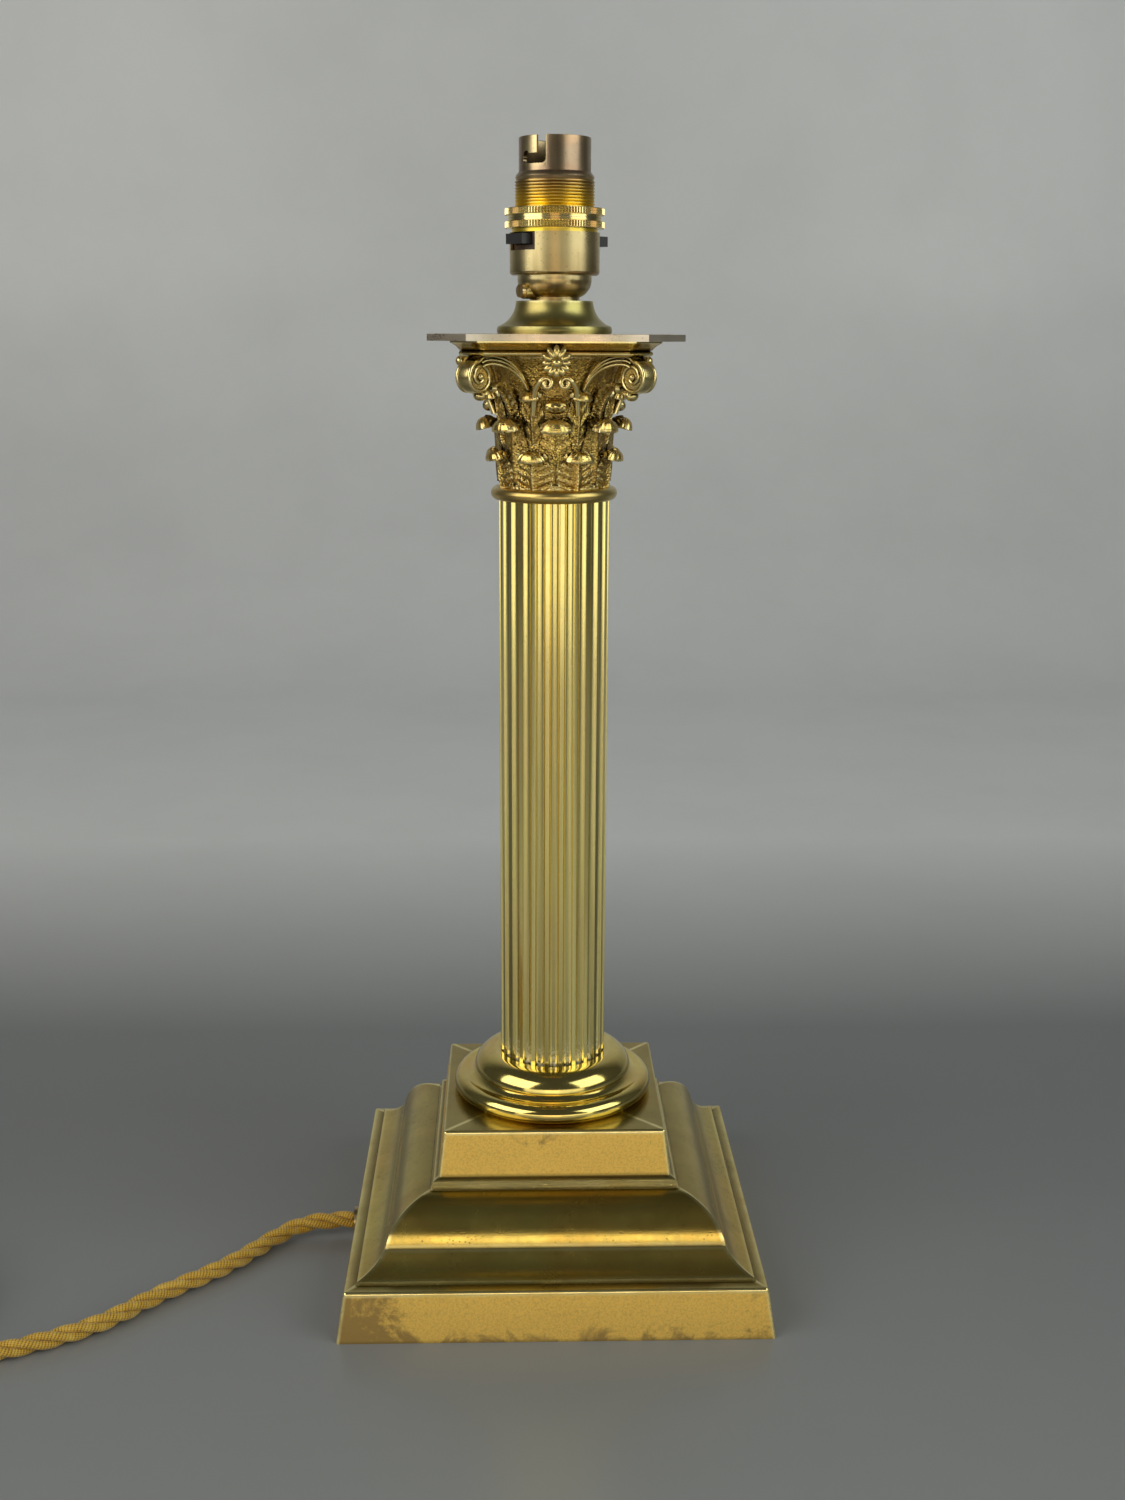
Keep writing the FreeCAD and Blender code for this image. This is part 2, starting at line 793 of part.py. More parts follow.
def spread_round(shape, count, first):
    copies = []
    for number in range(count):
        copy = shape.copy()
        copy.rotate(V(0, 0, 0), UP, first + 360.0 * number / count)
        copies.append(copy)
    return copies


def volute_shape():
    """A corner scroll in the plane of the diagonal: a stalk that leaves the bell and rolls into a round eye."""
    eye = V(value("volute_eye_reach"), 0, float(bell_top_z) + value("abacus_height") - value("volute_eye_drop"))
    radius = value("volute_radius")
    width = value("volute_width")
    thick = value("stalk_thickness")
    foot = V(value("bell_waist_radius") - value("volute_foot_inset"), 0, eye.z - value("volute_foot_drop") * radius)
    top = eye + V(0, 0, radius)
    turn = radius * value("stalk_turn")
    under = eye + V(-turn, 0, turn)
    heel = foot + V(thick, 0, -thick / 2)
    bow_share = value("stalk_bow_share")
    bow = V(foot.x * bow_share + top.x * (1 - bow_share), 0, top.z - radius * value("stalk_bow_drop"))
    stalk = Part.Wire([
        Part.Arc(foot, bow, top).toShape(),
        Part.LineSegment(top, under).toShape(),
        Part.Arc(under, bow + V(thick, 0, -thick), heel).toShape(),
        Part.LineSegment(heel, foot).toShape(),
    ])
    side = V(0, width, 0)
    stalk_side = side * value("stalk_width_share")
    pieces = [Part.Face(stalk).extrude(stalk_side)]
    pieces[0].translate(-stalk_side / 2)
    roll = Part.makeCylinder(radius, width, eye - side / 2, V(0, 1, 0))
    pieces.append(roll)
    stand = value("scroll_eye_stand")
    pieces.append(Part.makeCylinder(value("scroll_eye_radius"), width + 2 * stand,
                                    eye - side / 2 - V(0, stand, 0), V(0, 1, 0)))
    lobe_radius = radius * value("volute_lobe_share")
    lobe_middle = eye + V(-radius * value("volute_lobe_back"), 0, -radius)
    pieces.append(Part.makeCylinder(lobe_radius, stalk_side.y, lobe_middle - stalk_side / 2, V(0, 1, 0)))
    block = pieces[0].multiFuse(pieces[1:])
    groove_ring = radius * value("scroll_groove_share")
    groove = Part.makeTorus(groove_ring, value("scroll_groove_radius"), eye - side / 2, V(0, 1, 0))
    other = Part.makeTorus(groove_ring, value("scroll_groove_radius"), eye + side / 2, V(0, 1, 0))
    return block.cut([groove, other])


def flower_shape():
    """The flower in the middle of each side of the abacus: a scalloped disc with a round heart."""
    radius = value("flower_radius")
    petals = int(value("flower_petals"))
    edges = []
    for number in range(petals):
        first = 2 * math.pi * number / petals
        last = 2 * math.pi * (number + 1) / petals
        middle = (first + last) / 2
        valley = radius * value("flower_valley")
        edges.append(Part.Arc(V(valley * math.cos(first), 0, valley * math.sin(first)),
                              V(radius * math.cos(middle), 0, radius * math.sin(middle)),
                              V(valley * math.cos(last), 0, valley * math.sin(last))).toShape())
    reach = value("flower_reach")
    depth = reach - value("bell_lip_radius") + value("flower_root")
    disc = Part.Face(Part.Wire(edges)).extrude(V(0, depth, 0))
    heart = Part.makeSphere(radius * value("flower_heart"))
    flower = disc.fuse(heart)
    flower.translate(V(0, -reach, float(capital_top_z) - value("flower_drop")))
    return flower


def helix_pair():
    """Two small scrolls that meet under the flower."""
    pair = []
    rise = float(capital_top_z) - value("helix_drop")
    reach = value("helix_reach")
    for side in (-1, 1):
        roll = Part.makeCylinder(value("helix_radius"), reach - value("bell_waist_radius") + value("helix_root"),
                                 V(side * value("helix_spacing") / 2, -reach, rise), V(0, 1, 0))
        stand = value("helix_eye_stand")
        eye = Part.makeCylinder(value("helix_radius") * value("helix_eye_share"), 2 * stand,
                                V(side * value("helix_spacing") / 2, -reach - stand, rise), V(0, 1, 0))
        pair += [roll, eye]
    return pair


def build_capital():
    foot = float(neck_top_z)
    bell = turned_section([
        (value("bell_foot_radius") - value("bell_wall"), foot),
        (value("bell_foot_radius"), foot),
        (value("bell_waist_radius"), foot + 0.5 * value("bell_height"), -0.12),
        (value("bell_lip_radius"), float(bell_top_z)),
        (float(rod_hole), float(bell_top_z)),
        (float(rod_hole), float(bell_top_z) - value("bell_wall")),
        (value("bell_foot_radius") - value("bell_wall"), float(bell_top_z) - value("bell_wall") * 2),
    ]).revolve(V(0, 0, 0), UP, 360)
    bell = Part.Solid(bell) if bell.ShapeType != "Solid" else bell
    half = value("abacus_half")
    low_half = half - value("abacus_inset")
    hollow = value("abacus_hollow")
    clip = value("abacus_corner_cut")
    bead_top = float(bell_top_z) + value("abacus_bead")
    bead = Part.Face(hollow_square(low_half + 0.4, clip, hollow, float(bell_top_z))).extrude(
        V(0, 0, value("abacus_bead")))
    cove = Part.makeLoft([
        hollow_square(low_half, clip, hollow, bead_top),
        hollow_square(low_half + 0.25 * value("abacus_inset"), clip, hollow, bead_top + 1.2),
        hollow_square(half - 0.1, clip, hollow, float(capital_top_z) - 1.0),
        hollow_square(half, clip, hollow, float(capital_top_z)),
    ], True, True)
    rod_cut = Part.makeCylinder(float(rod_hole), value("abacus_height") + 2, V(0, 0, float(bell_top_z) - 1))
    count = int(value("leaf_count"))
    lower = leaf_shape(value("bell_foot_radius"), foot, value("lower_leaf_height"), value("lower_leaf_reach"),
                       value("lower_leaf_width"))
    upper_foot = value("upper_leaf_start")
    upper = leaf_shape(value("bell_waist_radius"), foot + upper_foot, value("upper_leaf_height") - upper_foot,
                       value("upper_leaf_reach"), value("upper_leaf_width"))
    pieces = [cove]
    pieces += spread_round(lower, count, 180.0 / count)
    pieces += spread_round(upper, count, 0)
    pieces += spread_round(volute_shape(), 4, 45)
    pieces += spread_round(flower_shape(), 4, 0)
    for scroll in helix_pair():
        pieces += spread_round(scroll, 4, 0)
    casting = bell.fuse(bead).multiFuse(pieces)
    casting = casting.cut(rod_cut)
    bore = Part.makeCylinder(value("bell_foot_radius") - value("bell_wall"), value("spigot_height") + 1.5,
                             V(0, 0, foot))
    casting = casting.cut(bore)
    if casting.ShapeType != "Solid":
        casting = casting.Solids[0] if len(casting.Solids) == 1 else casting
    return solid("capital", casting)


capital = keep(build_capital())
print("capital solids", len(capital.Shape.Solids), "faces", len(capital.Shape.Faces))

# ---------------------------------------------------------------- plate and collar

plate_blank = Part.Face(hollow_square(value("plate_half"), value("plate_corner_cut"), value("plate_hollow"),
                                      float(capital_top_z), value("plate_tab_half"),
                                      value("plate_tab_stand"))).extrude(V(0, 0, value("plate_thickness")))
plate_hole = Part.makeCylinder(float(rod_hole), value("plate_thickness") + 2, V(0, 0, float(capital_top_z) - 1))
keep(solid("abacus_plate", plate_blank.cut(plate_hole)))

collar_rim_z = plate_top_z + size("collar_rim_height")
collar_inside = size("collar_top_radius") - size("collar_wall")
keep(turned("flared_collar", [
    (size("collar_rim_radius") - size("collar_wall") * 1.6, plate_top_z),
    (size("collar_rim_radius") - 0.5, plate_top_z, 0.12),
    (size("collar_rim_radius") - 0.5, collar_rim_z, -size("collar_sag")),
    (size("collar_top_radius"), collar_top_z),
    (rod_hole, collar_top_z),
    (rod_hole, collar_top_z - size("collar_wall")),
    (collar_inside - 0.6, collar_top_z - size("collar_wall"), size("collar_sag")),
    (size("collar_rim_radius") - size("collar_wall") * 1.6, collar_rim_z - 0.8),
]))


# ---------------------------------------------------------------- threaded stem, nuts, washer and clamp bar

rod_foot_z = underside_z - size("rod_below_base")
keep(turned("threaded_stem", [
    (size("rod_bore_radius"), rod_foot_z),
    (size("rod_radius"), rod_foot_z),
    (size("rod_radius"), rod_top_z),
    (size("rod_bore_radius"), rod_top_z),
]))


def hexagon_nut(name, bottom, height):
    corner = size("nut_across_flats") / math.sqrt(3)
    corners = []
    for number in range(6):
        turn = math.radians(60 * number)
        corners.append((corner * math.cos(turn), corner * math.sin(turn)))
    body = padded(name, corners, bottom, height)
    sketch = new_sketch(body, "Bore_" + name, "XY_Plane")
    circle = sketch.addGeometry(Part.Circle(V(0, 0, 0), UP, 5), False)
    sketch.addConstraint(Sketcher.Constraint("Coincident", circle, 3, -1, 1))
    held = sketch.addConstraint(Sketcher.Constraint("Radius", circle, 5))
    sketch.renameConstraint(held, "radius")
    sketch.setExpression("Constraints.radius", (size("rod_radius") + size("thread_clearance")).formula)
    sketch.setExpression("AttachmentOffset.Base.z", (sized(bottom) - 1).formula)
    doc.recompute()
    before = body.Shape.Volume
    bore = body.newObject("PartDesign::Pocket", "Drill_" + name)
    bore.Profile = sketch
    bore.Reversed = True
    bore.setExpression("Length", (sized(height) + 2).formula)
    doc.recompute()
    if body.Shape.Volume > before - 1:
        raise ValueError("the nut has no bore")
    return body


bar_bottom_z = underside_z - size("clamp_bar_thickness")
washer_bottom_z = bar_bottom_z - size("washer_thickness")
nut_bottom_z = washer_bottom_z - size("nut_height")
clamp_blank = box("clamp_blank", size("clamp_bar_length"), size("clamp_bar_width"), size("clamp_bar_thickness"),
                  (-(size("clamp_bar_length") / 2), -(size("clamp_bar_width") / 2), bar_bottom_z))
clamp_drill = cylinder("clamp_drill", rod_hole, size("clamp_bar_thickness") + 2, (0, 0, bar_bottom_z - 1))
keep(cut("clamp_bar", clamp_blank, [clamp_drill]))
keep(turned("bottom_washer", [
    (rod_hole, washer_bottom_z),
    (size("washer_radius"), washer_bottom_z),
    (size("washer_radius"), bar_bottom_z),
    (rod_hole, bar_bottom_z),
]))
keep(hexagon_nut("bottom_nut", nut_bottom_z, size("nut_height")))
keep(hexagon_nut("plate_nut", plate_top_z, size("thin_nut_height")))


# ---------------------------------------------------------------- lampholder: cap, housing, insulators

cap_neck_z = collar_top_z + size("cap_neck_height")
cap_inside = size("cap_dome_radius") - size("cap_wall")
cap_floor_z = collar_top_z + size("rod_in_cap")
clamp_axis = direction(value("clamp_angle"))
clamp_z = float(collar_top_z) + value("clamp_screw_height")


def build_cap():
    """The domed entry cap with the boss of its clamp screw."""
    dome = turned_section([
        (float(size("rod_radius") + size("thread_clearance")), float(collar_top_z)),
        (value("cap_neck_radius"), float(collar_top_z)),
        (value("cap_neck_radius"), float(cap_neck_z), value("cap_dome_bulge")),
        (value("cap_dome_radius"), float(cap_top_z) - 1.6),
        (value("cap_dome_radius"), float(cap_top_z)),
        (float(cap_inside), float(cap_top_z)),
        (float(cap_inside), float(cap_top_z) - 2.4),
        (value("rod_radius") + 2.4, float(cap_floor_z) + 0.2),
        (float(size("rod_radius") + size("thread_clearance")), float(cap_floor_z) + 0.2),
    ]).revolve(V(0, 0, 0), UP, 360)
    start = clamp_axis * (value("rod_radius") + 1.0) + V(0, 0, clamp_z)
    boss = Part.makeCylinder(value("clamp_boss_radius"), value("clamp_boss_reach") - value("rod_radius") - 1.0,
                             start, clamp_axis)
    cap = Part.Solid(dome) if dome.ShapeType != "Solid" else dome
    cap = cap.fuse(boss)
    drill = Part.makeCylinder(value("clamp_screw_radius") + value("seat_clearance"),
                              value("clamp_boss_reach") - value("rod_radius") + 1.0,
                              clamp_axis * value("rod_radius") + V(0, 0, clamp_z), clamp_axis)
    bore = Part.makeCylinder(float(size("rod_radius") + size("thread_clearance")), value("rod_in_cap") + 2.0,
                             V(0, 0, float(collar_top_z) - 1.0))
    return solid("holder_cap", cap.cut([drill, bore]))


def build_clamp_screw():
    tip = value("rod_radius") + value("fit_gap")
    shank_length = value("clamp_boss_reach") - tip
    shank = Part.makeCylinder(value("clamp_screw_radius"), shank_length, clamp_axis * tip + V(0, 0, clamp_z),
                              clamp_axis)
    head = Part.makeCylinder(value("clamp_head_radius"), value("clamp_head_height"),
                             clamp_axis * value("clamp_boss_reach") + V(0, 0, clamp_z), clamp_axis)
    slot = Part.makeBox(value("clamp_head_height"), 0.7, value("clamp_head_radius") * 3)
    slot.translate(V(0.5 * value("clamp_head_height"), -0.35, -1.5 * value("clamp_head_radius")))
    slot.rotate(V(0, 0, 0), UP, value("clamp_angle"))
    slot.translate(clamp_axis * value("clamp_boss_reach") + V(0, 0, clamp_z))
    return solid("clamp_screw", shank.fuse(head).cut(slot))


keep(build_cap())
keep(build_clamp_screw())

bar_axis = direction(value("bar_angle"))
bar_turn = FreeCAD.Rotation(UP, value("bar_angle"))
bar_bottom = float(housing_top_z) - value("bar_drop")
window_bottom = float(housing_top_z) - value("window_height")
bar_length = 2 * value("housing_radius") + value("bar_front_stand") + value("bar_back_stand")


def oriented_box(length, width, height, bottom, start):
    """A box along the push bar's axis, centred across it."""
    shape = Part.makeBox(length, width, height, V(start, -width / 2, 0))
    shape.rotate(V(0, 0, 0), UP, value("bar_angle"))
    shape.translate(V(0, 0, bottom))
    return shape


def build_housing():
    """The drawn cup round the switch, with a window on each side for the push bar."""
    corner = value("housing_corner")
    wall = value("housing_wall")
    radius = value("housing_radius")
    low = float(cap_top_z)
    high = float(housing_top_z)
    cup = turned_section([
        (value("housing_floor_hole"), low),
        (radius - corner, low, 0.207),
        (radius, low + corner),
        (radius, high),
        (radius - wall, high),
        (radius - wall, low + wall),
        (value("housing_floor_hole"), low + wall),
    ]).revolve(V(0, 0, 0), UP, 360)
    cup = Part.Solid(cup) if cup.ShapeType != "Solid" else cup
    window = oriented_box(2 * radius + 4, value("window_width"), value("window_height") + 1, window_bottom,
                          -radius - 2)
    return solid("switch_housing", cup.cut(window))


keep(build_housing())

block_bottom = float(cap_top_z) + value("housing_wall") + value("fit_gap")
block_top = bar_bottom - value("bar_clearance")
post_top = float(housing_top_z) - value("fit_gap")
carrier_top = float(rim_z) - value("carrier_top_below_rim")


def contact_point(side, height):
    """Where a contact stands: on the line square to the two bayonet slots."""
    return direction(value("slot_angle") + 90) * (side * value("contact_spacing") / 2) + V(0, 0, height)


def build_switch_block():
    """The moulded block under the push bar, with a wall on each side of the bar's channel."""
    block = Part.makeCylinder(value("switch_block_radius"), post_top - block_bottom, V(0, 0, block_bottom))
    channel = oriented_box(4 * value("switch_block_radius"), value("bar_width") + 2 * value("bar_clearance"),
                           post_top - block_top + 1, block_top, -2 * value("switch_block_radius"))
    entry = Part.makeCylinder(value("flex_radius") + value("entry_clearance"),
                              block_top - value("channel_floor") - block_bottom + 1, V(0, 0, block_bottom - 1))
    return solid("switch_block", block.cut([channel, entry]))


def build_push_bar():
    bar = oriented_box(bar_length, value("bar_width"), value("bar_height"), bar_bottom,
                       -value("housing_radius") - value("bar_back_stand"))
    notch = oriented_box(value("bridge_width") + 0.02, value("bar_width") + 2, value("bridge_thickness") + 0.01,
                         bar_bottom + value("bar_height") - value("bridge_thickness"), -value("bridge_width") / 2)
    return solid("push_bar", bar.cut(notch))


def build_contact_bridge():
    """The brass strip that the push bar carries across the two contacts."""
    bridge = oriented_box(value("bridge_width"), value("bar_width") - 0.4, value("bridge_thickness"),
                          bar_bottom + value("bar_height") - value("bridge_thickness") + 0.01,
                          -value("bridge_width") / 2)
    return solid("contact_bridge", bridge)


keep(build_switch_block())
keep(build_push_bar())
keep(build_contact_bridge())

plunger_bore = value("plunger_collar_radius") + value("plunger_play")
plunger_hole = value("plunger_radius") + value("plunger_play")
collar_play = value("collar_play")
plunger_collar_top = carrier_top - value("plunger_cover")
plunger_collar_bottom = plunger_collar_top - value("plunger_collar_height")
spring_top = plunger_collar_bottom - 0.05
spring_bottom = spring_top - value("spring_length")


def build_carrier():
    """The insulating disc that carries the two spring plungers."""
    body = Part.makeCylinder(value("carrier_radius"), carrier_top - post_top, V(0, 0, post_top))
    cuts = []
    for side in (-1, 1):
        cuts.append(Part.makeCylinder(plunger_hole, 20, contact_point(side, plunger_collar_top - 1)))
        cuts.append(Part.makeCylinder(plunger_bore, plunger_collar_top + collar_play - spring_bottom,
                                      contact_point(side, spring_bottom)))
    return solid("plunger_carrier", body.cut(cuts))


def build_plunger(name, side):
    tip_z = carrier_top + value("plunger_stand")
    stem = turned_section([
        (0.0, plunger_collar_bottom),
        (value("plunger_collar_radius"), plunger_collar_bottom),
        (value("plunger_collar_radius"), plunger_collar_top),
        (value("plunger_radius"), plunger_collar_top),
        (value("plunger_radius"), tip_z - 1.0, 0.16),
        (value("plunger_tip_radius") * 0.6, tip_z),
        (0.0, tip_z),
    ]).revolve(V(0, 0, 0), UP, 360)
    stem = Part.Solid(stem) if stem.ShapeType != "Solid" else stem
    stem.translate(contact_point(side, 0))
    return solid(name, stem)


def arc_path(points, tangents):
    """A smooth path of biarcs: two tangent arcs between each pair of points."""
    edges = []
    for number in range(len(points) - 1):
        start, stop = points[number], points[number + 1]
        first, last = tangents[number], tangents[number + 1]
        chord = stop - start
        blend = first + last
        a = 2 * (1 - first.dot(last))
        b = 2 * chord.dot(blend)
        c = -chord.dot(chord)
        if a < 1e-9:
            reach = -c / b
        else:
            reach = (-b + math.sqrt(b * b - 4 * a * c)) / (2 * a)
        meet = (start + first * reach + stop - last * reach) * 0.5
        for near, far, tangent in ((start, meet, first), (meet, stop, None)):
            if tangent is None:
                joint_tangent = stop - last * reach - (start + first * reach)
                joint_tangent.normalize()
                tangent = joint_tangent
            edges.append(arc_from_tangent(near, far, tangent))
    return edges


def arc_from_tangent(start, stop, tangent):
    chord = stop - start
    normal = tangent.cross(chord).cross(tangent)
    if normal.Length < 1e-7:
        return Part.LineSegment(start, stop).toShape()
    normal.normalize()
    radius = chord.dot(chord) / (2 * chord.dot(normal))
    centre = start + normal * radius
    spoke = (start + stop) * 0.5 - centre
    spoke.normalize()
    toward = chord.dot(tangent) >= 0
    middle = centre + spoke * (radius if toward else -radius)
    return Part.Arc(start, middle, stop).toShape()


def pipe(edges, radius, start, tangent):
    path = Part.Wire(edges)
    ring = Part.Wire(Part.makeCircle(radius, start, tangent))
    return path.makePipeShell([ring], True, False)


def build_spring(name, side):
    """A helical compression spring under a plunger, from quarter-turn biarcs."""
    wire = value("spring_wire")
    radius = value("plunger_radius") - wire / 2
    turns = int(value("spring_turns"))
    climb = (spring_top - spring_bottom - wire - 0.1) / turns
    points, tangents = [], []
    for number in range(turns * 4 + 1):
        turn = math.pi / 2 * number
        rise = spring_bottom + wire / 2 + 0.05 + climb * number / 4
        points.append(V(radius * math.cos(turn), radius * math.sin(turn), rise))
        heading = V(-radius * math.sin(turn), radius * math.cos(turn), climb / (2 * math.pi))
        heading.normalize()
        tangents.append(heading)
    coil = pipe(arc_path(points, tangents), wire / 2, points[0], tangents[0])
    coil.translate(contact_point(side, 0))
    return solid(name, coil)


keep(build_carrier())
keep(build_plunger("plunger_live", 1))
keep(build_plunger("plunger_neutral", -1))
keep(build_spring("plunger_spring_live", 1))
keep(build_spring("plunger_spring_neutral", -1))


# ---------------------------------------------------------------- bayonet skirt and shade rings

def build_skirt():
    """The threaded skirt with its bayonet barrel and the two hooked slots."""
    low = float(housing_top_z)
    thread_top = low + value("thread_height")
    barrel_low = thread_top + value("taper_height")
    high = float(rim_z)
    skirt = turned_section([
        (value("skirt_bore_radius"), low),
        (value("skirt_flange_radius"), low),
        (value("skirt_flange_radius"), low + value("skirt_flange_height")),
        (value("skirt_thread_radius"), low + value("skirt_flange_height")),
        (value("skirt_thread_radius"), thread_top, value("taper_bulge")),
        (value("barrel_radius"), barrel_low),
        (value("barrel_radius"), high - value("barrel_edge")),
        (value("barrel_radius") - value("barrel_edge"), high),
        (value("barrel_bore_radius"), high),
        (value("barrel_bore_radius"), barrel_low + value("skirt_step")),
        (value("skirt_bore_radius"), thread_top - value("skirt_step")),
    ]).revolve(V(0, 0, 0), UP, 360)
    skirt = Part.Solid(skirt) if skirt.ShapeType != "Solid" else skirt
    width = value("slot_width")
    low_edge = high - value("slot_depth")
    inside = value("slot_cut_start")
    cuts = []
    for half_turn in (0, 180):
        angle = value("slot_angle") + half_turn
        slot = Part.makeBox(value("barrel_radius") + 2, width, value("slot_depth") + 1 - width / 2,
                            V(inside, -width / 2, 0))
        slot.rotate(V(0, 0, 0), UP, angle)
        slot.translate(V(0, 0, low_edge + width / 2))
        cuts.append(slot)
        corner = Part.makeCylinder(width / 2, value("barrel_radius"), V(0, 0, low_edge + width / 2)
                                   + direction(angle) * inside, direction(angle))
        cuts.append(corner)
        hook = Part.makeCylinder(value("barrel_radius") + 2, width, V(0, 0, low_edge), UP,
                                 value("slot_hook"))
        hook = hook.cut(Part.makeCylinder(inside, 3 * width, V(0, 0, low_edge - width)))
        hook.rotate(V(0, 0, 0), UP, angle - value("slot_hook"))
        cuts.append(hook)
        seat_axis = direction(angle - value("slot_hook"))
        seat = Part.makeCylinder(width / 2, value("barrel_radius"),
                                 V(0, 0, low_edge + width / 2) + seat_axis * inside, seat_axis)
        cuts.append(seat)
        raised = Part.makeCylinder(width / 2, value("barrel_radius"),
                                   V(0, 0, low_edge + width / 2 + value("slot_seat_rise")) + seat_axis * inside,
                                   seat_axis)
        cuts.append(raised)
    return solid("bayonet_skirt", skirt.cut(cuts))


skirt = keep(build_skirt())

ring_bore = size("skirt_thread_radius") + size("thread_clearance")
lower_ring_z = housing_top_z + size("skirt_flange_height") + size("ring_gap")
ring_meet_z = lower_ring_z + size("ring_height")
upper_ring_z = ring_meet_z + size("ring_gap")
upper_ring_top_z = upper_ring_z + size("ring_height")
keep(turned("lower_shade_ring", [
    (ring_bore, lower_ring_z),
    (size("ring_rim_radius"), lower_ring_z),
    (size("ring_rim_radius"), lower_ring_z + size("ring_rim_height")),
    (size("ring_collar_radius"), lower_ring_z + size("ring_rim_height")),
    (size("ring_collar_radius"), ring_meet_z),
    (ring_bore, ring_meet_z),
]))
keep(turned("upper_shade_ring", [
    (ring_bore, upper_ring_z),
    (size("ring_collar_radius"), upper_ring_z),
    (size("ring_collar_radius"), upper_ring_top_z - size("ring_rim_height")),
    (size("ring_rim_radius"), upper_ring_top_z - size("ring_rim_height")),
    (size("ring_rim_radius"), upper_ring_top_z),
    (ring_bore, upper_ring_top_z),
]))


# ---------------------------------------------------------------- terminals

def build_terminal(name, side):
    """A brass terminal under the switch block, with a cross hole for the core."""
    width = value("terminal_width")
    top = block_bottom - value("terminal_gap")
    low = top - value("terminal_height")
    deep = width * value("terminal_depth_share")
    block = Part.makeBox(deep, width, value("terminal_height"), V(-deep / 2, -width / 2, low))
    block.rotate(V(0, 0, 0), UP, value("slot_angle") + 90)
    block.translate(contact_point(side * value("terminal_spread"), 0))
    return solid(name, block)


def build_terminal_screw(name, side):
    top = block_bottom - value("terminal_gap") - value("terminal_height")
    high = value("terminal_screw_height")
    head = Part.makeCylinder(value("terminal_screw_radius"), high,
                             contact_point(side * value("terminal_spread"), top - high))
    return solid(name, head)


keep(build_terminal("terminal_live", 1))
keep(build_terminal("terminal_neutral", -1))
keep(build_terminal_screw("terminal_screw_live", 1))
keep(build_terminal_screw("terminal_screw_neutral", -1))


# ---------------------------------------------------------------- flex: bush, inner run, free run, coil, tail

bush_end = float(wall_at_flex()) + value("bush_stand")
flex_radius = value("flex_radius")
flex_z = value("flex_height")


def cavity_half(height):
    """Half width of the cavity between the plinth's sloping walls at a height."""
    low = -value("cavity_overrun")
    high = float(plinth_top) - value("base_wall")
    share = (height - low) / (high - low)
    return value("plinth_half") + (float(plinth_top_half) - value("plinth_half")) * share - value("base_wall")


def build_bush():
    """The brass bush that lines the hole in the plinth's left wall, with its flange inside the cavity."""
    outer = float(bush_outer())
    inner = flex_radius + value("flex_clearance")
    flange = outer + value("bush_flange")
    flange_start = min(cavity_half(flex_z - flange), cavity_half(flex_z + flange)) - value("seat_clearance")
    length = bush_end - flange_start + value("bush_flange_thickness")
    tube = Part.makeCylinder(outer, length, V(-bush_end, 0, flex_z), V(1, 0, 0))
    rear = Part.makeCylinder(flange, value("bush_flange_thickness"), V(-flange_start, 0, flex_z), V(1, 0, 0))
    bore = Part.makeCylinder(inner, length + 2, V(-bush_end - 1, 0, flex_z), V(1, 0, 0))
    return solid("flex_bush", tube.fuse(rear).cut(bore))


keep(build_bush())


def build_inner_flex():
    """The flex inside the lamp: in through the bush, up the threaded stem and to the terminals."""
    bend = value("inner_bend")
    end_z = block_bottom - value("terminal_height") - value("core_clearance")
    start = V(-bush_end, 0, flex_z)
    into = V(-bend, 0, flex_z)
    out = V(0, 0, flex_z + bend)
    middle = V(-bend + bend * math.sin(math.pi / 4), 0, flex_z + bend - bend * math.cos(math.pi / 4))
    edges = [
        Part.LineSegment(start, into).toShape(),
        Part.Arc(into, middle, out).toShape(),
        Part.LineSegment(out, V(0, 0, end_z)).toShape(),
    ]
    return solid("inner_flex", pipe(edges, flex_radius, start, V(1, 0, 0)))


keep(build_inner_flex())

lying_z = flex_radius + value("floor_gap")
coil_z = flex_radius + value("coil_lift")
coil_radius = value("coil_outer_radius")
coil_pitch = 2 * flex_radius + value("coil_gap")
coil_middle = V(coil_centre[0], coil_centre[1], 0)
entry_spoke = direction(coil_entry_angle)
entry_heading = V(entry_spoke.y, -entry_spoke.x, 0)
coil_entry = coil_middle + entry_spoke * coil_radius + V(0, 0, coil_z)
coil_start = coil_entry - entry_heading * (2 * flex_radius)
climb_sweep = value("climb_sweep")


def rounded_path(points):
    """Straight runs joined by tangent arcs, each as large as its two runs allow."""
    edges = []
    here = points[0]
    for number in range(1, len(points) - 1):
        corner = points[number]
        back = points[number - 1] - corner
        ahead = points[number + 1] - corner
        shorter = min(back.Length, ahead.Length)
        back.normalize()
        ahead.normalize()
        half_turn = (math.pi - back.getAngle(ahead)) / 2
        trim = value("run_trim") * shorter
        radius = trim / math.tan(half_turn)
        print("flex bend %d: turn %.0f degrees, radius %.0f mm" % (number, math.degrees(2 * half_turn), radius))
        start = corner + back * trim
        stop = corner + ahead * trim
        bisector = back + ahead
        bisector.normalize()
        middle = corner + bisector * (radius / math.cos(half_turn) - radius)
        edges.append(Part.LineSegment(here, start).toShape())
        edges.append(Part.Arc(start, middle, stop).toShape())
        here = stop
    edges.append(Part.LineSegment(here, points[-1]).toShape())
    return edges


def check_tube(name, tube, edges, radius):
    length = sum(edge.Length for edge in edges)
    expected = math.pi * radius * radius * length
    print("%s: length %.0f mm, volume over section times length %.4f" % (name, length, tube.Volume / expected))
    return length


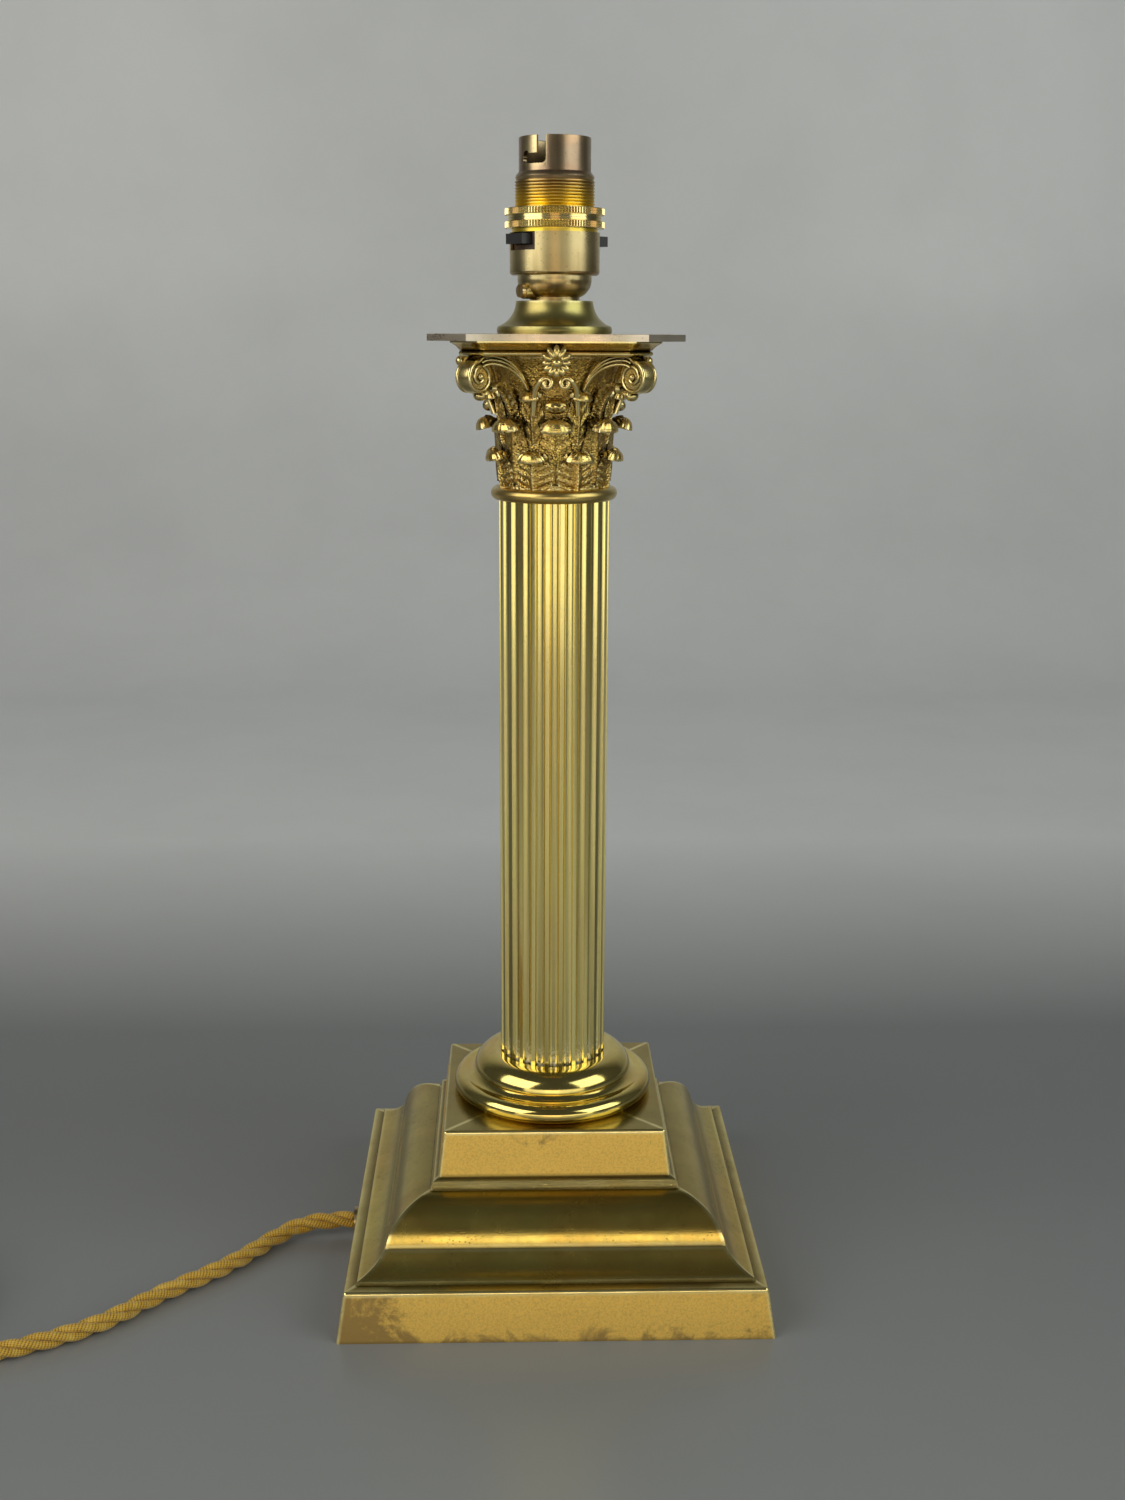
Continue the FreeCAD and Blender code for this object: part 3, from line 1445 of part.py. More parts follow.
def build_free_flex():
    points = [V(-bush_end, 0, flex_z)]
    for number, (x, y) in enumerate(flex_route):
        points.append(V(x, y, flex_z if number == 0 else lying_z))
    points.append(coil_start)
    edges = rounded_path(points)
    tube = pipe(edges, flex_radius, points[0], V(-1, 0, 0))
    return solid("flex_free", tube), check_tube("free flex", tube, edges, flex_radius)


free_flex, free_length = build_free_flex()
keep(free_flex)


def coil_shape_points():
    """Quarter-turn points of the coil: clockwise, in to the middle on the table, then out again on top."""
    sweep = 360.0 * value("coil_turns") + coil_entry_angle - coil_exit_angle
    half = sweep / 2
    steps = int(round(sweep / value("coil_step")))
    layer = 2 * flex_radius + value("coil_gap")
    points, tangents = [], []

    def place(travel):
        inward = travel if travel < half else sweep - travel
        radius = coil_radius - coil_pitch * inward / 360.0
        share = min(max((travel - half) / climb_sweep + 0.5, 0.0), 1.0)
        rise = coil_z + layer * share * share * (3 - 2 * share)
        spoke = direction(coil_entry_angle - travel)
        return coil_middle + spoke * radius + V(0, 0, rise)

    for number in range(steps + 1):
        travel = sweep * number / steps
        step = 0.01
        before = place(max(travel - step, 0))
        after = place(min(travel + step, sweep))
        heading = after - before
        heading.normalize()
        points.append(place(travel))
        tangents.append(heading)
    return points, tangents


def build_coil():
    points, tangents = coil_shape_points()
    lead_in = Part.LineSegment(points[0] - tangents[0] * (2 * flex_radius), points[0]).toShape()
    exit_point = points[-1] + tangents[-1] * (2 * flex_radius)
    lead_out = Part.LineSegment(points[-1], exit_point).toShape()
    edges = [lead_in] + arc_path(points, tangents) + [lead_out]
    start = points[0] - tangents[0] * (2 * flex_radius)
    tube = pipe(edges, flex_radius, start, tangents[0])
    samples = []
    travelled = 0.0
    for edge in edges:
        count = max(2, int(edge.Length / 3.0))
        for number in range(count):
            share = edge.FirstParameter + (edge.LastParameter - edge.FirstParameter) * number / count
            samples.append((travelled + edge.Length * number / count, edge.valueAt(share)))
        travelled += edge.Length
    gap = 1e9
    for number, (along, point) in enumerate(samples):
        for further, other in samples[number + 1:]:
            if further - along > 12 * flex_radius:
                gap = min(gap, point.distanceToPoint(other))
    print("coil: least gap to itself %.2f mm" % (gap - 2 * flex_radius))
    length = check_tube("coil", tube, edges, flex_radius)
    return solid("flex_coil", tube), exit_point, tangents[-1], length


coil, coil_end, coil_heading, coil_length = build_coil()
keep(coil)


def build_tie():
    """The band that holds the coil together."""
    layer = 2 * flex_radius + value("coil_gap")
    inner_low = coil_z - flex_radius - value("tie_gap")
    inner_high = coil_z + layer + flex_radius + value("tie_gap")
    inward = coil_pitch * (360.0 * value("coil_turns") + coil_entry_angle - coil_exit_angle) / 720.0
    inner_near = coil_radius - inward - flex_radius - value("tie_gap") - value("tie_room")
    inner_far = coil_radius + flex_radius + value("tie_gap")
    thick = value("tie_thickness")
    outer = Part.makeBox(inner_far - inner_near + 2 * thick, value("tie_width"), inner_high - inner_low + 2 * thick,
                         V(inner_near - thick, -value("tie_width") / 2, inner_low - thick))
    outer = outer.makeFillet(value("tie_corner"), [edge for edge in outer.Edges if abs(edge.tangentAt(0).y) > 0.99])
    inner = Part.makeBox(inner_far - inner_near, value("tie_width") + 2, inner_high - inner_low,
                         V(inner_near, -value("tie_width") / 2 - 1, inner_low))
    band = outer.cut(inner)
    band.rotate(V(0, 0, 0), UP, tie_angle)
    band.translate(coil_middle)
    return solid("coil_tie", band)


keep(build_tie())

tail_end = coil_end + coil_heading * value("tail_length")
tail_path = [Part.LineSegment(coil_end, tail_end).toShape()]
tail = pipe(tail_path, flex_radius, coil_end, coil_heading)
tail_total = check_tube("tail", tail, tail_path, flex_radius)
keep(solid("flex_tail", tail))
print("flex in all, outside the lamp: %.0f mm" % (free_length + coil_length + tail_total))


# ---------------------------------------------------------------- plug, lying on its back with the pins up

plug_turn = math.degrees(math.atan2(coil_heading.y, coil_heading.x))
plug_place = V(tail_end.x, tail_end.y, 0)


def plug_outline(inset, bottom):
    """Plan of the plug, flex entry at the origin and the body along +X: it narrows towards the entry."""
    half = value("plug_width") / 2 - inset
    near = value("plug_shoulder") / 2 - inset
    length = value("plug_length") - inset
    corner = max(value("plug_corner") - inset, 1.0)
    shoulder = value("plug_length") * value("plug_shoulder_share")
    corners = [V(inset, -near, bottom), V(shoulder, -half, bottom), V(length, -half, bottom),
               V(length, half, bottom), V(shoulder, half, bottom), V(inset, near, bottom)]
    wire = Part.makePolygon(corners + [corners[0]])
    return Part.Face(wire), corner


def plug_solid(inset, bottom, height):
    face, corner = plug_outline(inset, bottom)
    body = face.extrude(V(0, 0, height))
    upright = [edge for edge in body.Edges if abs(edge.tangentAt(edge.FirstParameter).z) > 0.99]
    return body.makeFillet(corner, upright)


def on_plug(name, shape):
    shape.rotate(V(0, 0, 0), UP, plug_turn)
    shape.translate(plug_place)
    return solid(name, shape)


split_z = value("plug_cover_height")
face_z = value("plug_height")
entry_z = coil_end.z
pin_axis_x = value("plug_length") * value("pin_axis_share")
plug_screw_x = value("plug_length") * value("plug_screw_share")
fuse_x = value("plug_length") * value("fuse_share")
fuse_offset = value("plug_width") * value("fuse_side_share")
entry_bore = Part.makeCylinder(flex_radius + value("flex_clearance"), value("plug_wall") + 4,
                               V(-1, 0, entry_z), V(1, 0, 0))


def build_plug_cover():
    shell = plug_solid(0, 0, split_z)
    room = plug_solid(value("plug_wall"), value("plug_wall"), split_z)
    post_low = value("plug_wall") / 2
    post = Part.makeCylinder(value("plug_screw_head"), split_z - value("plug_post_gap") - post_low,
                             V(plug_screw_x, 0, post_low))
    drill = Part.makeCylinder(value("plug_screw_radius") + value("seat_clearance"), split_z,
                              V(plug_screw_x, 0, value("plug_wall")))
    return on_plug("plug_cover", shell.cut(room).fuse(post).cut([drill, entry_bore]))


def line_pin_places():
    x = pin_axis_x - value("plug_length") * value("line_pin_back")
    return [V(x, -value("pin_spread") / 2, 0), V(x, value("pin_spread") / 2, 0)]


def earth_pin_place():
    return V(line_pin_places()[0].x + value("pin_rise"), 0, 0)


def pin_box(place, along, across, length, inset):
    low = split_z + value("pin_root") - inset
    high = face_z + length
    return Part.makeBox(along + 2 * inset, across + 2 * inset, high - low,
                        V(place.x - along / 2 - inset, place.y - across / 2 - inset, low))


def build_plug_base():
    body = plug_solid(0, split_z, face_z - split_z)
    cuts = [entry_bore]
    gap = value("seat_clearance")
    for place in line_pin_places():
        cuts.append(pin_box(place, value("line_pin_thickness"), value("line_pin_width"),
                            value("line_pin_length"), gap))
    cuts.append(pin_box(earth_pin_place(), value("earth_pin_thickness"), value("earth_pin_width"),
                        value("earth_pin_length"), gap))
    cuts.append(Part.makeCylinder(value("plug_screw_radius") + gap, face_z,
                                  V(plug_screw_x, 0, split_z - 1)))
    cuts.append(Part.makeCylinder(value("plug_screw_head") + gap, value("screw_sink"),
                                  V(plug_screw_x, 0, face_z - value("screw_sink"))))
    return on_plug("plug_base", body.cut(cuts))


keep(build_plug_cover())
keep(build_plug_base())
live_place, neutral_place = line_pin_places()
keep(on_plug("plug_pin_live", pin_box(live_place, value("line_pin_thickness"), value("line_pin_width"),
                                      value("line_pin_length"), 0)))
keep(on_plug("plug_pin_neutral", pin_box(neutral_place, value("line_pin_thickness"), value("line_pin_width"),
                                         value("line_pin_length"), 0)))
keep(on_plug("plug_pin_earth", pin_box(earth_pin_place(), value("earth_pin_thickness"),
                                       value("earth_pin_width"), value("earth_pin_length"), 0)))
screw_start = value("plug_screw_start")
head_low = face_z - value("screw_sink")
screw_shank = Part.makeCylinder(value("plug_screw_radius"), head_low - screw_start, V(0, 0, screw_start))
screw_head = Part.makeCylinder(value("plug_screw_head"), value("plug_screw_head_height"), V(0, 0, head_low))
plug_screw = screw_shank.fuse(screw_head)
plug_screw.translate(V(plug_screw_x, 0, 0))
keep(on_plug("plug_screw", plug_screw))
fuse_body = Part.makeCylinder(value("fuse_radius"), value("fuse_length"),
                              V(fuse_x, -fuse_offset,
                                value("plug_wall") + value("fuse_radius") + value("fuse_lift")), V(1, 0, 0))
keep(on_plug("plug_fuse", fuse_body))


# ---------------------------------------------------------------- write the pieces

doc.recompute()
for item in doc.Objects:
    if "Invalid" in item.State or "Error" in item.State:
        raise ValueError("%s is not in order: %s" % (item.Label, item.State))
for piece in parts:
    if piece.Shape.isNull() or not piece.Shape.isValid():
        raise ValueError("%s has no valid shape" % piece.Label)
os.makedirs("parts", exist_ok=True)
for piece in parts:
    piece.Shape.exportStep("parts/%s.step" % piece.Label)
    print("%-26s solids %d faces %4d volume %9.0f" % (piece.Label, len(piece.Shape.Solids),
                                                      len(piece.Shape.Faces), piece.Shape.Volume))
print("pieces", len(parts))
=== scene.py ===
import math
import bpy
from mathutils import Matrix, Vector


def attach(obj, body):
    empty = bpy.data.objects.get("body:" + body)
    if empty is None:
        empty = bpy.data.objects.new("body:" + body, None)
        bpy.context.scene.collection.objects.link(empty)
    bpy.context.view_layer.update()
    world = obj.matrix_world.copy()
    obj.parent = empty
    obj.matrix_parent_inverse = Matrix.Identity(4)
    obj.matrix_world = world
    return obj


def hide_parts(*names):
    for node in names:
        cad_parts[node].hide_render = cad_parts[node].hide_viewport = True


# Column table lamp in aged brass with a gold twisted flex, dressed over its fixed frame. Metres, +Z up.

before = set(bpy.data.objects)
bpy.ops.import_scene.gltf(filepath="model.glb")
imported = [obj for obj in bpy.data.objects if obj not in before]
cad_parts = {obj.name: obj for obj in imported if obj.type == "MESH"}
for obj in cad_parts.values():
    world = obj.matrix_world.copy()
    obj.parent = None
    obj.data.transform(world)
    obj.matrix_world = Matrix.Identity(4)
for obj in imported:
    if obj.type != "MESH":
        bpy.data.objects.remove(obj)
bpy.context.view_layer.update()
mm = 0.001
bpy.ops.object.select_all(action="DESELECT")
print("stage: frame loaded")

photoCamera = {
    "place": (-0.01517, -0.64242, 0.35605),
    "tiltDown": 13.58,
    "turn": -1.667,
    "roll": 0.24,
    "focalPixels": 1745.3,
    "imageHeight": 1500,
    "sensorHeight": 36.0,
}


def addCamera(choice):
    bpy.ops.object.camera_add(location=choice["place"])
    camera = bpy.context.object
    camera.name = "photoCamera"
    turn = Matrix.Rotation(math.radians(choice["turn"]), 4, "Z")
    tilt = Matrix.Rotation(math.radians(90 - choice["tiltDown"]), 4, "X")
    roll = Matrix.Rotation(math.radians(choice["roll"]), 4, "Z")
    camera.matrix_world = Matrix.Translation(choice["place"]) @ turn @ tilt @ roll
    camera.data.sensor_fit = "VERTICAL"
    camera.data.sensor_height = choice["sensorHeight"]
    camera.data.lens = choice["focalPixels"] / choice["imageHeight"] * choice["sensorHeight"]
    camera.data.clip_start = 0.01
    bpy.context.scene.camera = camera


addCamera(photoCamera)
print("stage: camera")

# node helpers: an input takes a socket to link from, or a value

def addNode(tree, kind, values=None, **inputs):
    node = tree.nodes.new(kind)
    for name, value in (values or {}).items():
        setattr(node, name, value)
    for name, value in inputs.items():
        socket = node.inputs[int(name[1:])] if name[0] == "i" and name[1:].isdigit() else node.inputs[name]
        if isinstance(value, bpy.types.NodeSocket):
            tree.links.new(value, socket)
        else:
            socket.default_value = value
    return node


def newGroup(name, inputs, outputs):
    group = bpy.data.node_groups.new(name, "ShaderNodeTree")
    for label, kind, value in inputs:
        socket = group.interface.new_socket(name=label, in_out="INPUT", socket_type="NodeSocket" + kind)
        if value is not None:
            socket.default_value = value
    for label, kind in outputs:
        group.interface.new_socket(name=label, in_out="OUTPUT", socket_type="NodeSocket" + kind)
    return group, group.nodes.new("NodeGroupInput"), group.nodes.new("NodeGroupOutput")


def closeGroup(group, out, **results):
    for name, socket in results.items():
        group.links.new(socket, out.inputs[name])
    return group


def useGroup(tree, group, **inputs):
    node = tree.nodes.new("ShaderNodeGroup")
    node.node_tree = group
    for name, value in inputs.items():
        if isinstance(value, bpy.types.NodeSocket):
            tree.links.new(value, node.inputs[name])
        else:
            node.inputs[name].default_value = value
    return node


def ramp(tree, factor, stops):
    node = addNode(tree, "ShaderNodeValToRGB", i0=factor)
    band = node.color_ramp
    while len(band.elements) < len(stops):
        band.elements.new(0.5)
    for element, (place, colour) in zip(band.elements, stops):
        element.position = place
        element.color = (*colour, 1)
    return node.outputs[0]


def mixColour(tree, factor, first, second):
    node = tree.nodes.new("ShaderNodeMix")
    node.data_type = "RGBA"
    for number, value in ((0, factor), (6, first), (7, second)):
        if isinstance(value, bpy.types.NodeSocket):
            tree.links.new(value, node.inputs[number])
        elif number and len(value) == 3:
            node.inputs[number].default_value = (*value, 1)
        else:
            node.inputs[number].default_value = value
    return node.outputs[2]


def maths(tree, operation, first, second=0.0, clamp=False):
    return addNode(tree, "ShaderNodeMath", {"operation": operation, "use_clamp": clamp}, i0=first,
                   i1=second).outputs[0]


def times(tree, first, second, clamp=False):
    return maths(tree, "MULTIPLY", first, second, clamp)


def spread(tree, value, low, high, newLow=0.0, newHigh=1.0):
    return addNode(tree, "ShaderNodeMapRange", {"clamp": True}, Value=value, **{
        "From Min": low, "From Max": high, "To Min": newLow, "To Max": newHigh}).outputs[0]


def noise(tree, vector, scale, detail=4.0, roughness=0.6, distortion=0.0):
    return addNode(tree, "ShaderNodeTexNoise", None, Vector=vector, Scale=scale, Detail=detail,
                   Roughness=roughness, Distortion=distortion).outputs[0]


def stretched(tree, vector, amounts):
    return addNode(tree, "ShaderNodeMapping", {"vector_type": "POINT"}, Vector=vector, Scale=amounts).outputs[0]


def axes(tree, vector):
    return addNode(tree, "ShaderNodeSeparateXYZ", None, Vector=vector).outputs


def bumped(tree, shader, strength, distance, height):
    bump = addNode(tree, "ShaderNodeBump", None, Strength=strength, Distance=distance, Height=height)
    tree.links.new(bump.outputs["Normal"], shader.inputs["Normal"])


# effects that several materials share

def makeTarnish():
    group, given, out = newGroup("tarnish", [
        ("Vector", "Vector", None), ("Scale", "Float", 60.0), ("Bright", "Color", (0.8, 0.6, 0.2, 1)),
        ("Dull", "Color", (0.4, 0.3, 0.1, 1)), ("Warm", "Color", (0.7, 0.4, 0.15, 1)), ("Amount", "Float", 0.5),
    ], [("Color", "Color"), ("Mask", "Float")])
    vector, scale = given.outputs["Vector"], given.outputs["Scale"]
    broad = spread(group, noise(group, vector, scale, 5.0, 0.62, 0.4), 0.38, 0.66)
    fine = spread(group, noise(group, vector, times(group, scale, 7.0), 3.0), 0.4, 0.7)
    warmth = spread(group, noise(group, vector, times(group, scale, 0.45), 3.0, 0.5, 0.8), 0.42, 0.62)
    clouds = maths(group, "ADD", times(group, broad, 0.72), times(group, fine, 0.28))
    mask = times(group, clouds, given.outputs["Amount"], True)
    warmed = mixColour(group, times(group, warmth, 0.7), given.outputs["Bright"], given.outputs["Warm"])
    return closeGroup(group, out, Color=mixColour(group, mask, warmed, given.outputs["Dull"]), Mask=mask)


def makeMarks():
    # fine rubbing lines one way, stray scratches and small pits
    group, given, out = newGroup("marks", [
        ("Vector", "Vector", None), ("Lines", "Float", 0.5), ("Pits", "Float", 0.5),
    ], [("Height", "Float"), ("Pitting", "Float")])
    vector = given.outputs["Vector"]
    lines = noise(group, stretched(group, vector, (60.0, 60.0, 2600.0)), 1.0, 2.0, 0.7)
    stray = noise(group, stretched(group, vector, (900.0, 40.0, 700.0)), 1.0, 2.0, 0.7, 0.3)
    cells = addNode(group, "ShaderNodeTexVoronoi", {"feature": "F1"}, Vector=vector, Scale=620.0)
    patch = spread(group, noise(group, vector, 90.0, 4.0), 0.46, 0.60)
    pit = times(group, spread(group, cells.outputs["Distance"], 0.26, 0.10), patch)
    pitting = times(group, pit, given.outputs["Pits"], True)
    worn = times(group, maths(group, "ADD", lines, times(group, stray, 0.6)), given.outputs["Lines"])
    return closeGroup(group, out, Height=maths(group, "SUBTRACT", worn, pitting), Pitting=pitting)


def makeEdgePolish():
    group, given, out = newGroup("edgePolish", [("Sharpness", "Float", 0.5)],
                                 [("Edge", "Float"), ("Hollow", "Float")])
    point = group.nodes.new("ShaderNodeNewGeometry").outputs["Pointiness"]
    sharpness = given.outputs["Sharpness"]
    return closeGroup(group, out, Edge=times(group, spread(group, point, 0.515, 0.58), sharpness),
                      Hollow=times(group, spread(group, point, 0.49, 0.42), sharpness))


def makeStreaks():
    # long upright light and dark streaks of colour on a column: painted reflections
    group, given, out = newGroup("streaks", [("Vector", "Vector", None), ("Width", "Float", 260.0)],
                                 [("Light", "Float"), ("Dark", "Float")])
    flat = addNode(group, "ShaderNodeVectorMath", {"operation": "MULTIPLY"}, i0=given.outputs["Vector"],
                   i1=(1.0, 1.0, 0.02)).outputs[0]
    light = noise(group, flat, given.outputs["Width"], 2.0, 0.5)
    other = addNode(group, "ShaderNodeVectorMath", {"operation": "ADD"}, i0=flat, i1=(0.31, 0.17, 0.05)).outputs[0]
    dark = noise(group, other, given.outputs["Width"], 3.0, 0.6)
    return closeGroup(group, out, Light=spread(group, light, 0.48, 0.62), Dark=spread(group, dark, 0.50, 0.66))


def makeChasing():
    # close punched grain of cast and chased work
    group, given, out = newGroup("chasing", [("Vector", "Vector", None), ("Scale", "Float", 900.0)],
                                 [("Height", "Float")])
    vector, scale = given.outputs["Vector"], given.outputs["Scale"]
    cells = addNode(group, "ShaderNodeTexVoronoi", {"feature": "F1"}, Vector=vector, Scale=scale, Randomness=0.9)
    bead = spread(group, cells.outputs["Distance"], 0.75, 0.1)
    rough = noise(group, vector, times(group, scale, 0.55), 3.0, 0.7)
    return closeGroup(group, out, Height=maths(group, "ADD", times(group, bead, 0.6), rough))


tarnish = makeTarnish()
marks = makeMarks()
edgePolish = makeEdgePolish()
streaks = makeStreaks()
chasing = makeChasing()


def newMaterial(name):
    material = bpy.data.materials.new(name)
    material.use_nodes = True
    tree = material.node_tree
    shader = tree.nodes["Principled BSDF"]
    place = tree.nodes.new("ShaderNodeTexCoord").outputs["Object"]
    return material, tree, shader, place


def agedMetal(name, choice, extra=None):
    material, tree, shader, place = newMaterial(name)
    stain = useGroup(tree, tarnish, Vector=place, Scale=choice["stainScale"], Bright=(*choice["bright"], 1),
                     Dull=(*choice["dull"], 1), Warm=(*choice["warm"], 1), Amount=choice["stain"])
    worn = useGroup(tree, marks, Vector=place, Lines=choice["lines"], Pits=choice["pits"])
    rim = useGroup(tree, edgePolish, Sharpness=choice["edges"])
    colour = stain.outputs["Color"]
    height = worn.outputs["Height"]
    # painted reflections: light streaks go towards the edge tone, dark ones towards the dull tone
    if "streaks" in choice:
        streak = useGroup(tree, streaks, Vector=place, Width=choice["streakWidth"])
        for side, tone in (("Light", "edgeTone"), ("Dark", "dull")):
            colour = mixColour(tree, times(tree, streak.outputs[side], choice["streaks"]), colour, choice[tone])
    if "chasing" in choice:
        grain = useGroup(tree, chasing, Vector=place, Scale=choice["chasing"])
        carved = addNode(tree, "ShaderNodeAttribute", {"attribute_name": "carving"}).outputs["Fac"]
        height = maths(tree, "ADD", height, times(tree, grain.outputs["Height"], carved))
        dips = times(tree, spread(tree, grain.outputs["Height"], 0.95, 0.45), carved)
        colour = mixColour(tree, dips, colour, choice["dull"])
    for share, tone in ((rim.outputs["Edge"], "edgeTone"), (rim.outputs["Hollow"], "hollowTone"),
                        (worn.outputs["Pitting"], "hollowTone")):
        colour = mixColour(tree, share, colour, choice[tone])
    low, high = choice["roughness"]
    dullness = spread(tree, stain.outputs["Mask"], 0.0, 1.0, low, high)
    # painted shade: colour darkened towards the hollow tone where ambient occlusion finds geometry close by
    if "aoShadeReach" in choice:
        shade = addNode(tree, "ShaderNodeAmbientOcclusion", {"samples": 5, "only_local": True},
                        Distance=choice["aoShadeReach"])
        colour = mixColour(tree, spread(tree, shade.outputs["AO"], 0.85, 0.30), colour, choice["hollowTone"])
    if extra:
        colour, dullness = extra(tree, shader, place, colour, dullness)
    tree.links.new(colour, shader.inputs["Base Color"])
    tree.links.new(dullness, shader.inputs["Roughness"])
    if not shader.inputs["Metallic"].is_linked:
        shader.inputs["Metallic"].default_value = 1.0
    bumped(tree, shader, choice["bump"], choice.get("depth", 0.1) * mm, height)
    return material


def dress(names, material):
    for name in names:
        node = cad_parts[name]
        if not node.data.materials:
            node.data.materials.append(material)
        for place in node.material_slots:
            place.material = material


baseBrass = {
    "stainScale": 48.0, "bright": (0.76, 0.59, 0.15), "dull": (0.32, 0.27, 0.08), "warm": (0.74, 0.48, 0.10),
    "stain": 0.5, "lines": 0.6, "pits": 0.75, "edges": 0.0, "edgeTone": (0.97, 0.84, 0.40),
    "hollowTone": (0.10, 0.075, 0.025), "roughness": (0.20, 0.40), "bump": 0.3,
    "top": 0.0644,
    # height in mm, then how much bright edge (worn edge and painted highlight), painted shade and flat face there is
    "bands": [(0.0, 0, 0.7, 1), (1.2, 0, 0.15, 1), (16.6, 0, 0.0, 1), (17.9, 1, 0, 0.5), (18.6, 0.8, 0, 0),
              (19.0, 0, 0.9, 0), (19.6, 0, 0.6, 0), (20.2, 0.7, 0, 0), (20.9, 0, 0.1, 0), (26.6, 0, 0.1, 0),
              (27.5, 0.8, 0, 0), (28.1, 0, 1, 0), (28.8, 0.6, 0, 0), (29.8, 0, 0, 0), (40.5, 0, 0.25, 0),
              (42.9, 0, 0.7, 0), (43.4, 0, 1, 0), (44.2, 0.7, 0, 0), (46.0, 0.7, 0, 0), (46.6, 0, 1, 0),
              (47.4, 0, 0.5, 1), (48.2, 0, 0, 1), (62.6, 0, 0, 1), (63.3, 1, 0, 1), (64.0, 1, 0, 0.2),
              (64.4, 0.1, 0.7, 0)],
    "corner": (1.6, 0.5),
    "share": 0.85,
    "faceTone": (0.98, 0.64, 0.15), "faceMetal": 0.62, "faceRoughness": 0.50, "speckles": 0.30,
    "edgeRoughness": 0.2,
    # dark patches, with more of them low down and towards the left end
    "patchTone": (0.32, 0.21, 0.075), "patches": (0.60, 0.72), "lowest": (0.0075, 0.0005), "lowMore": 0.16,
    "leftEnd": (0.045, 0.085), "leftMore": 0.34,
}


def baseWear(tree, shader, place, colour, dullness):
    # bright edges and corners, partly worn and partly painted highlight lines; painted shade in the creases, on the
    # ledges, on the die top and at the foot; satin faces with dark patches low down
    x, y, z = axes(tree, place)
    share = baseBrass["share"]
    level = maths(tree, "DIVIDE", z, baseBrass["top"], True)
    bands = [(height * mm / baseBrass["top"], row) for height, *row in baseBrass["bands"]]
    parts = addNode(tree, "ShaderNodeSeparateColor", None, Color=ramp(tree, level, bands)).outputs
    edge, paintedShade, face = parts[0], parts[1], parts[2]
    off = maths(tree, "ABSOLUTE", maths(tree, "SUBTRACT", maths(tree, "ABSOLUTE", x), maths(tree, "ABSOLUTE", y)))
    # painted highlight lines along the mitred corners, partly worn edges
    wide, narrow = baseBrass["corner"]
    corner = spread(tree, off, wide * mm, narrow * mm)
    uneven = spread(tree, noise(tree, place, 75.0, 4.0), 0.30, 0.55, 0.35, 1.0)
    edge = times(tree, maths(tree, "MAXIMUM", edge, times(tree, corner, share)), uneven)
    low = times(tree, spread(tree, z, *baseBrass["lowest"]), baseBrass["lowMore"])
    ends = spread(tree, times(tree, x, -1.0), *baseBrass["leftEnd"], 0.0, baseBrass["leftMore"])
    cloud = maths(tree, "ADD", noise(tree, place, 62.0, 7.0, 0.68, 0.6), maths(tree, "ADD", ends, low))
    faceShare = times(tree, face, share)
    patches = times(tree, spread(tree, cloud, *baseBrass["patches"]), faceShare)
    speckle = times(tree, spread(tree, noise(tree, place, 1300.0, 3.0, 0.7), 0.46, 0.62), baseBrass["speckles"])
    faceColour = mixColour(tree, speckle, baseBrass["faceTone"], baseBrass["patchTone"])
    colour = mixColour(tree, faceShare, colour, faceColour)
    colour = mixColour(tree, patches, colour, baseBrass["patchTone"])
    # painted shade: darkened where the bands say, in the creases, on the ledges, on the die top and at the foot
    colour = mixColour(tree, times(tree, paintedShade, share), colour, baseBrass["hollowTone"])
    colour = mixColour(tree, edge, colour, baseBrass["edgeTone"])
    metal = maths(tree, "SUBTRACT", 1.0, times(tree, faceShare, 1.0 - baseBrass["faceMetal"]))
    tree.links.new(maths(tree, "MAXIMUM", metal, edge), shader.inputs["Metallic"])
    satin = addNode(tree, "ShaderNodeMix", {"data_type": "FLOAT"}, i0=faceShare, i2=dullness,
                    i3=baseBrass["faceRoughness"]).outputs[0]
    rubbed = addNode(tree, "ShaderNodeMix", {"data_type": "FLOAT"}, i0=edge, i2=satin,
                     i3=baseBrass["edgeRoughness"]).outputs[0]
    return colour, rubbed


shaftBrass = {
    "stainScale": 36.0, "bright": (0.94, 0.78, 0.24), "dull": (0.36, 0.30, 0.10), "warm": (0.90, 0.56, 0.24),
    "stain": 0.35, "lines": 0.15, "pits": 0.2, "edges": 0.6, "edgeTone": (0.95, 0.82, 0.36),
    "hollowTone": (0.22, 0.17, 0.06), "roughness": (0.16, 0.30), "bump": 0.2, "streaks": 0.85, "streakWidth": 300.0,
    "residue": (0.72, 0.70, 0.60), "residueUpTo": (0.0916, 0.0816), "hollow": (0.0198, 0.0190),
    "groove": (0.0192, 0.0189), "grooveShare": 0.45,
}


def shaftResidue(tree, shader, place, colour, dullness):
    # dried polish left in the ends of the flutes
    x, y, z = axes(tree, place)
    flat = addNode(tree, "ShaderNodeCombineXYZ", None, X=x, Y=y, Z=0.0).outputs[0]
    out = addNode(tree, "ShaderNodeVectorMath", {"operation": "LENGTH"}, i0=flat).outputs["Value"]
    hollow = spread(tree, out, *shaftBrass["hollow"])
    foot = spread(tree, z, *shaftBrass["residueUpTo"])
    grain = spread(tree, noise(tree, place, 900.0, 4.0, 0.7), 0.42, 0.62)
    cover = times(tree, times(tree, foot, hollow), grain)
    groove = times(tree, spread(tree, out, *shaftBrass["groove"]), shaftBrass["grooveShare"])
    colour = mixColour(tree, groove, colour, shaftBrass["dull"])
    colour = mixColour(tree, cover, colour, shaftBrass["residue"])
    tree.links.new(maths(tree, "SUBTRACT", 1.0, times(tree, cover, 0.85)), shader.inputs["Metallic"])
    return colour, maths(tree, "ADD", dullness, times(tree, cover, 0.35))


